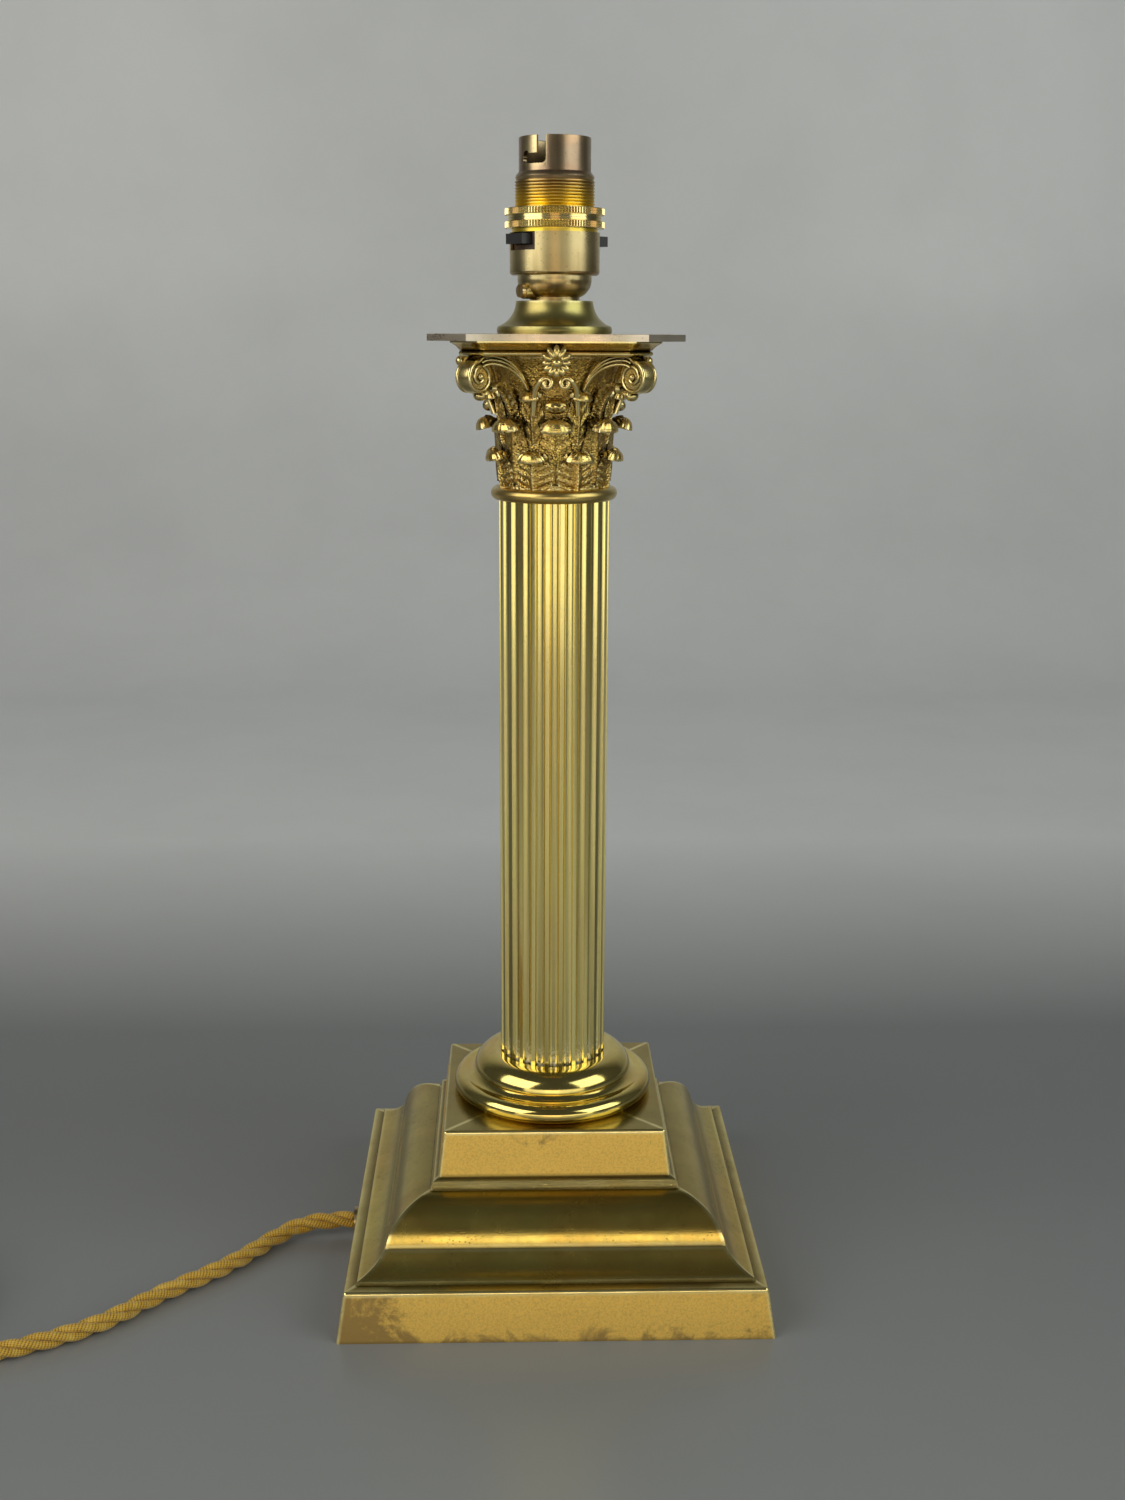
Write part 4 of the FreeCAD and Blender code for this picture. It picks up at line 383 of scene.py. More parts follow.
ringBrass = {
    "stainScale": 45.0, "bright": (0.84, 0.68, 0.22), "dull": (0.42, 0.34, 0.12), "warm": (0.70, 0.46, 0.14),
    "stain": 0.4, "lines": 0.3, "pits": 0.2, "edges": 0.5, "edgeTone": (0.95, 0.85, 0.45),
    "hollowTone": (0.14, 0.11, 0.04), "roughness": (0.10, 0.24), "bump": 0.15,
}
neckBrass = dict(ringBrass, bright=(0.62, 0.50, 0.19), dull=(0.30, 0.24, 0.09), roughness=(0.28, 0.42))
collarBrass = dict(ringBrass, bright=(0.50, 0.43, 0.15), dull=(0.22, 0.19, 0.07), warm=(0.46, 0.34, 0.12),
                   roughness=(0.30, 0.44))
castBrass = {
    "stainScale": 120.0, "bright": (0.96, 0.70, 0.19), "dull": (0.40, 0.26, 0.075), "warm": (0.86, 0.50, 0.13),
    "stain": 0.6, "lines": 0.3, "pits": 0.9, "edges": 1.0, "edgeTone": (0.98, 0.82, 0.40),
    "hollowTone": (0.05, 0.032, 0.010), "roughness": (0.22, 0.42), "bump": 0.9, "depth": 0.35,
    "chasing": 1250.0, "aoShadeReach": 0.0028,
}
holderBrass = {
    "stainScale": 70.0, "bright": (0.37, 0.28, 0.12), "dull": (0.19, 0.14, 0.06), "warm": (0.46, 0.25, 0.10),
    "stain": 0.5, "lines": 0.35, "pits": 0.3, "edges": 0.6, "edgeTone": (0.80, 0.66, 0.35),
    "hollowTone": (0.10, 0.07, 0.03), "roughness": (0.27, 0.42), "bump": 0.2, "streaks": 0.25, "streakWidth": 160.0,
}
skirtBrass = dict(holderBrass, bright=(0.34, 0.24, 0.16), dull=(0.18, 0.13, 0.09), warm=(0.52, 0.27, 0.15),
                  roughness=(0.28, 0.42), threadGlareTone=(0.96, 0.68, 0.07), threadTop=0.408, threadLow=0.398)


def threadPaintedGlare(tree, shader, place, colour, dullness):
    # painted highlight: the thread is painted bright low down, as glare on it
    bright = spread(tree, axes(tree, place)[2], skirtBrass["threadTop"], skirtBrass["threadLow"])
    uneven = spread(tree, noise(tree, place, 110.0, 3.0), 0.3, 0.6, 0.55, 1.0)
    return mixColour(tree, times(tree, bright, uneven), colour, skirtBrass["threadGlareTone"]), dullness


milledBrass = dict(holderBrass, bright=(0.90, 0.70, 0.26), dull=(0.50, 0.37, 0.13), warm=(0.86, 0.55, 0.17),
                   stain=0.3, edgeTone=(0.98, 0.86, 0.48), roughness=(0.16, 0.30))
copperScrew = dict(holderBrass, bright=(0.66, 0.38, 0.20), dull=(0.36, 0.20, 0.11), warm=(0.62, 0.30, 0.14))
plateBrass = {
    "stainScale": 60.0, "bright": (0.46, 0.38, 0.31), "dull": (0.24, 0.18, 0.13), "warm": (0.50, 0.33, 0.20),
    "stain": 0.6, "lines": 0.5, "pits": 0.3, "edges": 0.7, "edgeTone": (0.78, 0.68, 0.55),
    "hollowTone": (0.10, 0.07, 0.05), "roughness": (0.25, 0.45), "bump": 0.3,
}
plainSteel = dict(plateBrass, bright=(0.55, 0.53, 0.50), dull=(0.30, 0.28, 0.25), warm=(0.45, 0.38, 0.30))

capitalMetal = agedMetal("castBrass", castBrass)
chasedBrass = dict(castBrass, bright=(0.74, 0.56, 0.18), dull=(0.36, 0.25, 0.08), warm=(0.70, 0.45, 0.14), pits=0.4,
                   bump=0.3, depth=0.1, roughness=(0.20, 0.36))
del chasedBrass["chasing"]
smoothMetal = agedMetal("chasedBrass", chasedBrass)
skirtMetal = agedMetal("skirtBrass", skirtBrass, threadPaintedGlare)
ringMetal = agedMetal("milledBrass", milledBrass)
dress(["stepped_base"], agedMetal("baseBrass", baseBrass, baseWear))
dress(["fluted_shaft"], agedMetal("shaftBrass", shaftBrass, shaftResidue))
dress(["column_base_ring"], agedMetal("ringBrass", ringBrass))
dress(["neck_ring"], agedMetal("neckBrass", neckBrass))
dress(["flared_collar"], agedMetal("collarBrass", collarBrass))
dress(["abacus_plate"], agedMetal("plateBrass", plateBrass))
dress(["clamp_screw"], agedMetal("copperScrew", copperScrew))
dress(["holder_cap", "switch_housing", "flex_bush", "contact_bridge", "plunger_live", "plunger_neutral",
       "terminal_live", "terminal_neutral", "terminal_screw_live", "terminal_screw_neutral", "plug_pin_live",
       "plug_pin_neutral", "plug_pin_earth"], agedMetal("holderBrass", holderBrass))
dress(["threaded_stem", "clamp_bar", "bottom_washer", "bottom_nut", "plate_nut", "plunger_spring_live",
       "plunger_spring_neutral", "plug_screw"], agedMetal("plainSteel", plainSteel))
print("stage: brass")


def moulded(name, choice):
    # an insulating material with faint flow marks and rubbed edges
    material, tree, shader, place = newMaterial(name)
    cloud = spread(tree, noise(tree, place, choice["scale"], 4.0), 0.35, 0.7)
    rim = useGroup(tree, edgePolish, Sharpness=0.4)
    colour = mixColour(tree, cloud, choice["colour"], choice["shade"])
    colour = mixColour(tree, rim.outputs["Edge"], colour, choice["edgeTone"])
    tree.links.new(colour, shader.inputs["Base Color"])
    low, high = choice["roughness"]
    tree.links.new(spread(tree, cloud, 0.0, 1.0, low, high), shader.inputs["Roughness"])
    bumped(tree, shader, 0.15, 0.1 * mm, noise(tree, place, choice["grain"], 2.0))
    return material


blackMoulding = {"scale": 90.0, "grain": 1800.0, "colour": (0.012, 0.012, 0.014), "shade": (0.025, 0.024, 0.026),
                 "edgeTone": (0.06, 0.06, 0.065), "roughness": (0.30, 0.48)}
brownMoulding = {"scale": 90.0, "grain": 1500.0, "colour": (0.045, 0.022, 0.012), "shade": (0.07, 0.035, 0.02),
                 "edgeTone": (0.12, 0.07, 0.04), "roughness": (0.32, 0.5)}
whiteCeramic = {"scale": 60.0, "grain": 900.0, "colour": (0.62, 0.60, 0.54), "shade": (0.5, 0.47, 0.41),
                "edgeTone": (0.72, 0.70, 0.64), "roughness": (0.25, 0.4)}
tieBand = {"scale": 300.0, "grain": 2500.0, "colour": (0.02, 0.02, 0.022), "shade": (0.05, 0.05, 0.05),
           "edgeTone": (0.08, 0.08, 0.08), "roughness": (0.6, 0.8)}
dress(["push_bar", "plug_cover", "plug_base"], moulded("blackMoulding", blackMoulding))
dress(["switch_block", "plunger_carrier"], moulded("brownMoulding", brownMoulding))
dress(["plug_fuse"], moulded("whiteCeramic", whiteCeramic))
dress(["coil_tie"], moulded("tieBand", tieBand))
print("stage: mouldings")

# modelling by hand: pick vertices by their place, turn a section, bend tubes, put copies round the axis


def toObject():
    if bpy.context.mode != "OBJECT":
        bpy.ops.object.mode_set(mode="OBJECT")


def outward():
    # ends an edit: every face looks out
    bpy.ops.mesh.select_all(action="SELECT")
    bpy.ops.mesh.normals_make_consistent(inside=False)
    toObject()


def alone(piece):
    toObject()
    bpy.ops.object.select_all(action="DESELECT")
    piece.select_set(True)
    bpy.context.view_layer.objects.active = piece


def pick(piece, test):
    alone(piece)
    mesh = piece.data
    for group in (mesh.polygons, mesh.edges, mesh.vertices):
        group.foreach_set("select", [False] * len(group))
    for vertex in mesh.vertices:
        vertex.select = bool(test(vertex.co / mm))
    bpy.ops.object.mode_set(mode="EDIT")
    bpy.ops.mesh.select_mode(type="VERT")


def place(piece, name):
    alone(piece)
    piece.name = name
    bpy.ops.object.transform_apply(location=True, rotation=True, scale=True)
    return piece


def ball(name, radius, spot, segments=16, rings=10, scale=(1, 1, 1), turn=(0, 0, 0)):
    bpy.ops.mesh.primitive_uv_sphere_add(segments=segments, ring_count=rings, radius=radius * mm, rotation=turn,
                                         location=[part * mm for part in spot])
    piece = bpy.context.object
    piece.scale = scale
    return place(piece, name)


def drum(name, radius, depth, spot, turn, vertices=40):
    bpy.ops.mesh.primitive_cylinder_add(vertices=vertices, radius=radius * mm, depth=depth * mm, rotation=turn,
                                        location=[part * mm for part in spot])
    return place(bpy.context.object, name)


def turnedPiece(name, profile, steps):
    first = profile[0]
    bpy.ops.mesh.primitive_plane_add(size=mm, location=(first[0] * mm, 0, first[1] * mm))
    piece = place(bpy.context.object, name)
    bpy.ops.object.mode_set(mode="EDIT")
    bpy.ops.mesh.merge(type="CENTER")
    for radius, height in [*profile[1:], first]:
        move = ((radius - first[0]) * mm, 0, (height - first[1]) * mm)
        bpy.ops.mesh.extrude_vertices_move(TRANSFORM_OT_translate={"value": move})
        first = (radius, height)
    bpy.ops.mesh.select_all(action="SELECT")
    bpy.ops.mesh.spin(steps=steps, angle=2 * math.pi, center=(0, 0, 0), axis=(0, 0, 1))
    bpy.ops.mesh.select_all(action="SELECT")
    bpy.ops.mesh.remove_doubles(threshold=0.000001)
    outward()
    return piece


def tube(points, radius, ends=None):
    bpy.ops.curve.primitive_nurbs_path_add(location=(0, 0, 0))
    path = bpy.context.object
    path.data.splines.clear()
    spline = path.data.splines.new("NURBS")
    spline.points.add(len(points) - 1)
    for number, (point, spot) in enumerate(zip(spline.points, points)):
        point.co = (spot[0] * mm, spot[1] * mm, spot[2] * mm, 1)
        point.radius = ends(number / (len(points) - 1)) if ends else 1
    spline.order_u = 3
    spline.use_endpoint_u = True
    spline.resolution_u = 2
    path.data.bevel_depth = radius * mm
    path.data.bevel_resolution = 2
    path.data.use_fill_caps = True
    bpy.ops.object.convert(target="MESH")
    return bpy.context.object


def copiesRound(piece, angles):
    made = []
    for angle in angles:
        place(piece, piece.name)
        bpy.ops.object.duplicate()
        turned = bpy.context.object
        turned.rotation_euler.z = math.radians(angle)
        made.append(place(turned, piece.name))
    return [piece, *made]


def joined(pieces, name):
    alone(pieces[0])
    for piece in pieces:
        piece.select_set(True)
    bpy.ops.object.join()
    piece = bpy.context.object
    piece.name = name
    return piece


def addModifier(piece, kind, **settings):
    alone(piece)
    modifier = piece.modifiers.new(kind.title(), kind)
    for name, value in settings.items():
        setattr(modifier, name, value)
    bpy.ops.object.modifier_apply(modifier=modifier.name)


def smooth(piece, angle):
    alone(piece)
    bpy.ops.object.shade_smooth_by_angle(angle=math.radians(angle))
    bpy.ops.object.select_all(action="DESELECT")


def coat(piece, material):
    piece.data.materials.clear()
    piece.data.materials.append(material)


def standIn(piece, body, slotName, material, *nodes):
    if material:
        coat(piece, material)
    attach(piece, body)
    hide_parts(*nodes)


# the cast capital: leaves, scrolls and flowers on a flared bell under a moulded top
capital = {
    "bell": [(16.4, 300.2), (19.4, 300.2), (19.3, 306), (19.5, 313), (19.9, 320), (20.4, 326), (21.2, 332),
             (22.4, 338), (24.2, 343), (27.0, 346.9), (5.3, 346.9), (5.3, 344), (16.4, 340)],
    "carving": 0.55,
    "carvingSize": 0.0017,
    "topHalf": 36.5,
    "topHollow": 3.6,
    "topClip": 9.5,
    "topSteps": [(351.8, 1.0), (351.2, 1.0), (350.9, 0.985), (350.3, 0.955), (349.6, 0.932), (348.9, 0.917),
                 (348.5, 0.895), (348.2, 0.912), (347.7, 0.921), (347.1, 0.915), (346.7, 0.89), (346.6, 0.86)],
}
lowerLeaf = {
    "angles": 8, "start": 22.5, "width": 14.6, "leaflets": 6.5, "relief": 0.55, "rib": 1.25, "droop": 1.6,
    "tip": (5.2, 3.0, 2.6, 23.3, 311.2),
    "line": [(19.9, 300.3), (20.7, 303.5), (21.0, 307.0), (21.3, 310.0), (22.0, 312.3), (23.2, 313.3)],
}
upperLeaf = {
    "angles": 8, "start": 0.0, "width": 13.2, "leaflets": 9.5, "relief": 0.6, "rib": 1.0, "droop": 2.1,
    "tip": (5.9, 3.6, 3.1, 24.9, 321.9),
    "line": [(19.7, 302.0), (20.3, 307.0), (20.6, 312.0), (20.9, 317.0), (21.5, 321.0), (23.0, 324.0),
             (25.0, 324.4)],
}
sheathLeaf = {
    "angles": 8, "start": 22.5, "width": 8.2, "leaflets": 6.0, "relief": 0.5, "rib": 0.8, "droop": 1.0,
    "tip": (3.5, 2.3, 2.0, 24.8, 332.4),
    "line": [(19.9, 316.0), (20.9, 321.0), (21.8, 326.0), (22.6, 330.5), (23.6, 333.4), (24.8, 334.0)],
}
cornerLeaf = {
    "angles": 4, "start": 45.0, "width": 5.6, "leaflets": 8.5, "relief": 0.6, "rib": 0.9, "droop": 1.0,
    "tip": (3.6, 2.2, 2.0, 36.6, 334.4),
    "line": [(21.0, 325.0), (22.6, 329.0), (25.0, 332.8), (28.4, 335.6), (32.0, 336.6), (35.0, 336.2)],
}


def lineAt(line, share):
    place = share * (len(line) - 1)
    low = min(int(place), len(line) - 2)
    part = place - low
    before, here = line[max(low - 1, 0)], line[low]
    ahead, after = line[low + 1], line[min(low + 2, len(line) - 1)]
    found = []
    for a, b, c, d in zip(before, here, ahead, after):
        found.append(0.5 * (2 * b + (c - a) * part + (2 * a - 5 * b + 4 * c - d) * part ** 2
                            + (3 * b - a - 3 * c + d) * part ** 3))
    return found


# what the leaves share: cells, where the hood begins, the girth they bend round, thickness, ribs of the tip
leafShape = {"across": 24, "along": 34, "hood": 0.62, "bend": 21.0, "thickness": 1.1, "ribWidth": 0.13, "cup": 0.7,
             "hoodCup": 2.6, "hoodVeins": 7, "tipRibs": 15, "tipLean": 14}


def ribbedTip(choice):
    # the drooping tip, a small ribbed umbrella with a flat underside
    wide, deep, tall, reach, height = choice["tip"]
    bpy.ops.mesh.primitive_uv_sphere_add(segments=40, ring_count=12, radius=1 * mm)
    tip = bpy.context.object
    for vertex in tip.data.vertices:
        turn = math.atan2(vertex.co.y, vertex.co.x)
        out = math.hypot(vertex.co.x, vertex.co.y) / mm
        wave = math.cos(leafShape["tipRibs"] * turn) * out
        lift = vertex.co.z * (0.35 if vertex.co.z < 0 else 1.0) - 0.25 * mm * out ** 4
        vertex.co = Vector((vertex.co.x * (1 + 0.045 * wave) * wide, vertex.co.y * (1 + 0.045 * wave) * deep,
                            lift * (1 + 0.08 * wave) * tall))
    tip.rotation_euler.x = math.radians(leafShape["tipLean"])
    tip.location = (0, -reach * mm, height * mm)
    return place(tip, "tip")


def carvedLeaf(name, choice):
    # a grid laid up the bell and curled over: leaflets sweep up from a smooth rib, and the tip droops like a hood
    bpy.ops.mesh.primitive_grid_add(x_subdivisions=leafShape["across"], y_subdivisions=leafShape["along"], size=2)
    leaf = place(bpy.context.object, name)
    line, carved = choice["line"], []
    for vertex in leaf.data.vertices:
        across, along = vertex.co.x, (vertex.co.y + 1) / 2
        radius, height = lineAt(line, along)
        ahead, back = lineAt(line, min(along + 0.01, 1.0)), lineAt(line, max(along - 0.01, 0.0))
        out = Vector((ahead[1] - back[1], back[0] - ahead[0])).normalized()
        hood = max(0.0, (along - leafShape["hood"]) / (1 - leafShape["hood"]))
        waist = 0.16 * math.exp(-((along - 0.66) / 0.12) ** 2)
        width = 0.86 + 0.14 * math.sin(math.pi * min(along / 0.55, 1.0)) - waist
        width -= 0.08 * hood + 0.30 * max(0.0, (along - 0.9) / 0.1) ** 2
        leaflet = abs(math.sin(math.pi * (choice["leaflets"] * along - 1.1 * abs(across))))
        side = min(1.0, max(0.0, (abs(across) - 0.16) / 0.14))
        width *= 1 + 0.07 * side * (leaflet - 0.5) * (1 - hood)
        relief = choice["relief"] * side * (leaflet - 0.65) * (1 - hood) ** 2
        relief += choice["relief"] * 0.35 * hood * math.cos(across * leafShape["hoodVeins"] * math.pi)
        relief += choice["rib"] * math.exp(-(across / leafShape["ribWidth"]) ** 2) * (1 - along) ** 0.6
        relief -= leafShape["cup"] * across * across * (1 - hood)
        radius += relief * out[0] - leafShape["hoodCup"] * across * across * hood * hood
        height += relief * out[1] - choice["droop"] * across * across * hood
        turn = across * width * choice["width"] / 2 / leafShape["bend"]
        vertex.co = Vector((radius * math.sin(turn), -radius * math.cos(turn), height)) * mm
        carved.append(1 - 0.85 * hood)
    leaf.data.attributes.new("carving", "FLOAT", "POINT").data.foreach_set("value", carved)
    addModifier(leaf, "SOLIDIFY", thickness=leafShape["thickness"] * mm, offset=-1.0)
    pick(leaf, lambda spot: True)
    outward()
    leaf = joined([leaf, ribbedTip(choice)], name)
    leaf.rotation_euler.z = math.radians(choice["start"])
    place(leaf, name)
    step = 360 / choice["angles"]
    return copiesRound(leaf, [step * number for number in range(1, choice["angles"])])


cornerScroll = {
    "eye": (39.9, 339.8),
    "radius": 5.9,
    "halfWidth": 3.5,
    "turns": 1.7,
    "band": 0.72,
    "eyeRadius": 1.25,
    "lobe": 2.3,
    "belt": (1.0, 4.5, 0.45),  # half width, from which radius, how far it stands out
    "ridges": ((1, 1.35), (2, 2.7)),
    "stalk": [(21.6, 20.5, 327.0), (22.6, 23.5, 333.5), (24.6, 28.0, 340.0), (29.0, 33.5, 345.2),
              (34.5, 38.0, 346.9), (38.8, 40.4, 346.7)],
}


def cornerScrolls(choice):
    # each corner has a barrel with a spiral on both sides, and three ridges that run down each side to the bell
    reach, height = choice["eye"]
    parts = []
    sideways = (0, math.pi / 2, 0)
    barrel = drum("barrel", choice["radius"] - 0.5, 2 * (choice["halfWidth"] - 0.55), (0, -reach, height), sideways)
    pick(barrel, lambda spot: True)
    bpy.ops.mesh.subdivide(number_cuts=1)
    toObject()
    half, inner, lift = choice["belt"]
    for vertex in barrel.data.vertices:
        off = Vector((0, vertex.co.y + reach * mm, vertex.co.z - height * mm))
        if abs(vertex.co.x) < half * mm and off.length > inner * mm:
            vertex.co += off.normalized() * lift * mm
    parts.append(barrel)
    for side in (-1, 1):
        spiral = []
        for number in range(41):
            share = number / 40
            turn = math.radians(90 + 360 * choice["turns"] * share)
            radius = (choice["radius"] - choice["band"]) * (1 - share) ** 0.75 + 0.9
            radius = min(radius, choice["radius"] - choice["band"])
            spiral.append((side * (choice["halfWidth"] - choice["band"] * 0.75),
                           -(reach - radius * math.cos(turn)), height + radius * math.sin(turn)))
        stalk = []
        for radius, angle, rise in choice["stalk"]:
            turn = math.radians(45 - angle)
            stalk.append((side * radius * math.sin(turn), -radius * math.cos(turn), rise))
        parts.append(tube(stalk + spiral, choice["band"], lambda share: 1.0 if share < 0.9 else 1.15))
        for number, drop in choice["ridges"]:
            ridge = [(x + side * 0.32 * number, y + 0.15 * number, z - drop * (0.35 + 0.65 * min(1, spot / 3)))
                     for spot, (x, y, z) in enumerate(stalk)]
            ridge.append((ridge[-1][0], ridge[-1][1] - 1.2, ridge[-1][2] - 0.9))
            parts.append(tube(ridge, choice["band"] * 0.8))
        parts.append(ball("eye", choice["eyeRadius"], (side * (choice["halfWidth"] - 0.5), -reach, height)))
    parts.append(ball("lobe", choice["lobe"], (0, 2.6 - reach, height - 6.6), 20, 12, (1.1, 0.9, 0.75)))
    scroll = joined(parts, "cornerScroll")
    scroll.rotation_euler.z = math.radians(45)
    place(scroll, "cornerScroll")
    return copiesRound(scroll, (90, 180, 270))


sideFlower = {"heart": (-33.6, 344.6), "heartRadius": 1.9, "petals": 12, "long": 4.9, "short": 3.8,
              "petalSize": (0.8, 1.2), "boss": (2.8, 8.0), "bud": (4.2, 2.2, 2.6), "budSpot": (0, -23.0, 329.6)}
smallScroll = {"centre": (3.3, -27.4, 337.4), "radius": 3.3, "band": 1.05, "turns": 1.2, "core": (1.9, 6.0),
               "stem": [(7.6, -21.6, 326.5), (7.7, -23.4, 331.5), (7.1, -25.6, 336.0)]}


def sideFlowers(flower, scroll):
    y, z = flower["heart"]
    forward = (math.pi / 2, 0, 0)
    parts = [ball("heart", flower["heartRadius"], (0, y, z), 20, 12)]
    for number in range(flower["petals"]):
        turn = 2 * math.pi * number / flower["petals"] + math.pi / 2
        length = flower["short"] + (flower["long"] - flower["short"]) * max(0.0, math.sin(turn))
        middle = 1.2 + length / 2
        spot = (math.cos(turn) * middle, y + 0.5, z + math.sin(turn) * middle)
        parts.append(ball("petal", 1, spot, 16, 8, (length / 2, *flower["petalSize"]), (0, -turn, 0)))
    # the boss behind the petals ties them to the top
    parts.append(drum("boss", *flower["boss"], (0, y + 4.6, z + 0.3), forward, 24))
    for side in (-1, 1):
        x, near, level = scroll["centre"]
        line = [(side * across, *rest) for across, *rest in scroll["stem"]]
        for number in range(23):
            share = number / 22
            turn = math.radians(20 + 360 * scroll["turns"] * share)
            radius = (scroll["radius"] - scroll["band"]) * (1 - 0.8 * share)
            line.append((side * (x + radius * math.cos(turn)), near - 0.5 * share, level + radius * math.sin(turn)))
        parts.append(tube(line, scroll["band"]))
        parts.append(drum("core", *scroll["core"], (side * x, near + 3.2, level), forward, 20))
    budTop = flower["budSpot"][2] + flower["bud"][2]
    bud = ball("bud", 1, flower["budSpot"], 28, 16, flower["bud"])
    for vertex in bud.data.vertices:
        spot = vertex.co / mm
        vertex.co.y -= 0.9 * mm * abs(math.cos(spot.x * 1.9)) * min(1.0, max(0.0, (budTop - spot.z) / 4))
    parts.append(bud)
    return copiesRound(joined(parts, "sideFlower"), (90, 180, 270))


def mouldedTop(choice):
    # the hollow-sided, clip-cornered top, stepped in through its lip, hollow and bead
    low, scale = choice["topSteps"][-1]
    bpy.ops.mesh.primitive_circle_add(vertices=104, radius=30 * mm, fill_type="NGON", location=(0, 0, low * mm))
    top = place(bpy.context.object, "mouldedTop")
    half, clip = choice["topHalf"], choice["topClip"]
    end = half - clip
    side = [(x, choice["topHollow"] * (1 - (x / end) ** 2) - half)
            for x in [end * (2 * number / 21 - 1) for number in range(22)]]
    side += [(end + clip * number / 5, clip * number / 5 - half) for number in range(1, 5)]
    outline = [Matrix.Rotation(math.pi / 2 * quarter, 3, "Z") @ Vector((x, y, 0))
               for quarter in range(4) for x, y in side]
    order = sorted(top.data.vertices, key=lambda vertex: math.atan2(vertex.co.y, vertex.co.x))
    outline.sort(key=lambda spot: math.atan2(spot.y, spot.x))
    for vertex, spot in zip(order, outline):
        vertex.co = Vector((spot.x * scale, spot.y * scale, low)) * mm
    pick(top, lambda spot: True)
    for height, wide in reversed(choice["topSteps"][:-1]):
        bpy.ops.mesh.extrude_region_move(TRANSFORM_OT_translate={"value": (0, 0, (height - low) * mm)})
        bpy.ops.transform.resize(value=(wide / scale, wide / scale, 1), center_override=(0, 0, 0))
        low, scale = height, wide
    outward()
    return top


def buildCapital():
    bell = turnedPiece("bell", capital["bell"], 120)
    bell.data.attributes.new("carving", "FLOAT", "POINT").data.foreach_set("value", [1.0] * len(bell.data.vertices))
    pick(bell, lambda spot: Vector((spot.x, spot.y)).length > 18.5)
    bpy.ops.mesh.subdivide(number_cuts=2, smoothness=0)
    toObject()
    carving = bpy.data.textures.new("carving", "VORONOI")
    carving.noise_scale = capital["carvingSize"]
    outer = bell.vertex_groups.new(name="outer")
    outer.add([v.index for v in bell.data.vertices
               if math.hypot(v.co.x, v.co.y) > 18.5 * mm and v.co.z > 301.5 * mm], 1.0, "REPLACE")
    addModifier(bell, "DISPLACE", texture=carving, strength=capital["carving"] * mm, mid_level=0.4,
                texture_coords="LOCAL", vertex_group="outer")
    rough = [bell]
    for name, leaf in (("lowerLeaf", lowerLeaf), ("upperLeaf", upperLeaf), ("sheathLeaf", sheathLeaf),
                       ("cornerLeaf", cornerLeaf)):
        rough += carvedLeaf(name, leaf)
    fine = [mouldedTop(capital), *cornerScrolls(cornerScroll), *sideFlowers(sideFlower, smallScroll)]
    for pieces, metal in ((rough, capitalMetal), (fine, smoothMetal)):
        for piece in pieces:
            coat(piece, metal)
    return joined(rough + fine, "castCapital")


castCapital = buildCapital()
smooth(castCapital, 50.0)
standIn(castCapital, "root", "capital_brass", None, "capital")
print("stage: capital", sum(len(face.vertices) - 2 for face in castCapital.data.polygons))

# the threaded skirt with its bayonet barrel
holderSkirt = {
    "low": 388.8,
    "flange": (15.2, 390.1),
    "thread": {"crest": 14.1, "root": 13.55, "low": 390.5, "high": 407.0, "pitch": 1.06},
    "barrel": {"radius": 12.7, "low": 409.4, "top": 420.8, "bore": 11.2, "edge": 0.35},
    "shoulder": [(13.95, 407.4), (13.6, 408.2), (12.95, 408.9)],
    "bore": 12.9,
    "boreTop": 406.8,
    "slot": {"angle": 246.7, "width": 3.5, "depth": 9.4, "hook": 30.0, "rise": 0.8},
    "steps": 128,
}


def buildSkirt(choice):
    thread, barrel, slot = choice["thread"], choice["barrel"], choice["slot"]
    profile = [(choice["bore"], choice["low"]), (choice["flange"][0], choice["low"]), choice["flange"],
               (thread["root"], choice["flange"][1])]
    height = thread["low"]
    while height + thread["pitch"] <= thread["high"]:
        profile += [(thread["root"], height + 0.1), (thread["crest"], height + thread["pitch"] * 0.42),
                    (thread["crest"], height + thread["pitch"] * 0.66)]
        height += thread["pitch"]
    outer, bore, top, edge = barrel["radius"], barrel["bore"], barrel["top"], barrel["edge"]
    profile += [(thread["root"], height), *choice["shoulder"], (outer, barrel["low"]), (outer, top - edge),
                (outer - 0.1, top - 0.1), (outer - edge, top), (bore + 0.2, top), (bore, top - 0.2),
                (bore, barrel["low"] + 0.6), (choice["bore"], choice["boreTop"])]
    skirt = turnedPiece("threadedSkirt", profile, choice["steps"])
    cutters = []
    low = top - slot["depth"]
    half = slot["width"] / 2
    for turn in (0, 180):
        angle = math.radians(slot["angle"] + turn)
        hooked = math.radians(slot["angle"] + turn - slot["hook"])
        hook = [(angle + (hooked - angle) * share / 6, 0) for share in range(7)]
        for way, rise in [*hook, (hooked, slot["rise"])]:
            spot = (math.cos(way) * 12, math.sin(way) * 12, low + half + rise)
            cutters.append(drum("slotCutter", half, 7, spot, (0, math.pi / 2, way)))
        bpy.ops.mesh.primitive_cube_add(size=1, rotation=(0, 0, angle), scale=(7 * mm, slot["width"] * mm, 20 * mm),
                                        location=(math.cos(angle) * 12 * mm, math.sin(angle) * 12 * mm,
                                                  (low + half + 10) * mm))
        cutters.append(place(bpy.context.object, "slotCutter"))
    for cutter in cutters:
        addModifier(skirt, "BOOLEAN", object=cutter, operation="DIFFERENCE", solver="EXACT")
    for cutter in cutters:
        bpy.data.objects.remove(cutter)
    return skirt


threadedSkirt = buildSkirt(holderSkirt)
smooth(threadedSkirt, 28.0)
standIn(threadedSkirt, "root", "holder_brass", skirtMetal, "bayonet_skirt")
print("stage: skirt", len(threadedSkirt.data.polygons))

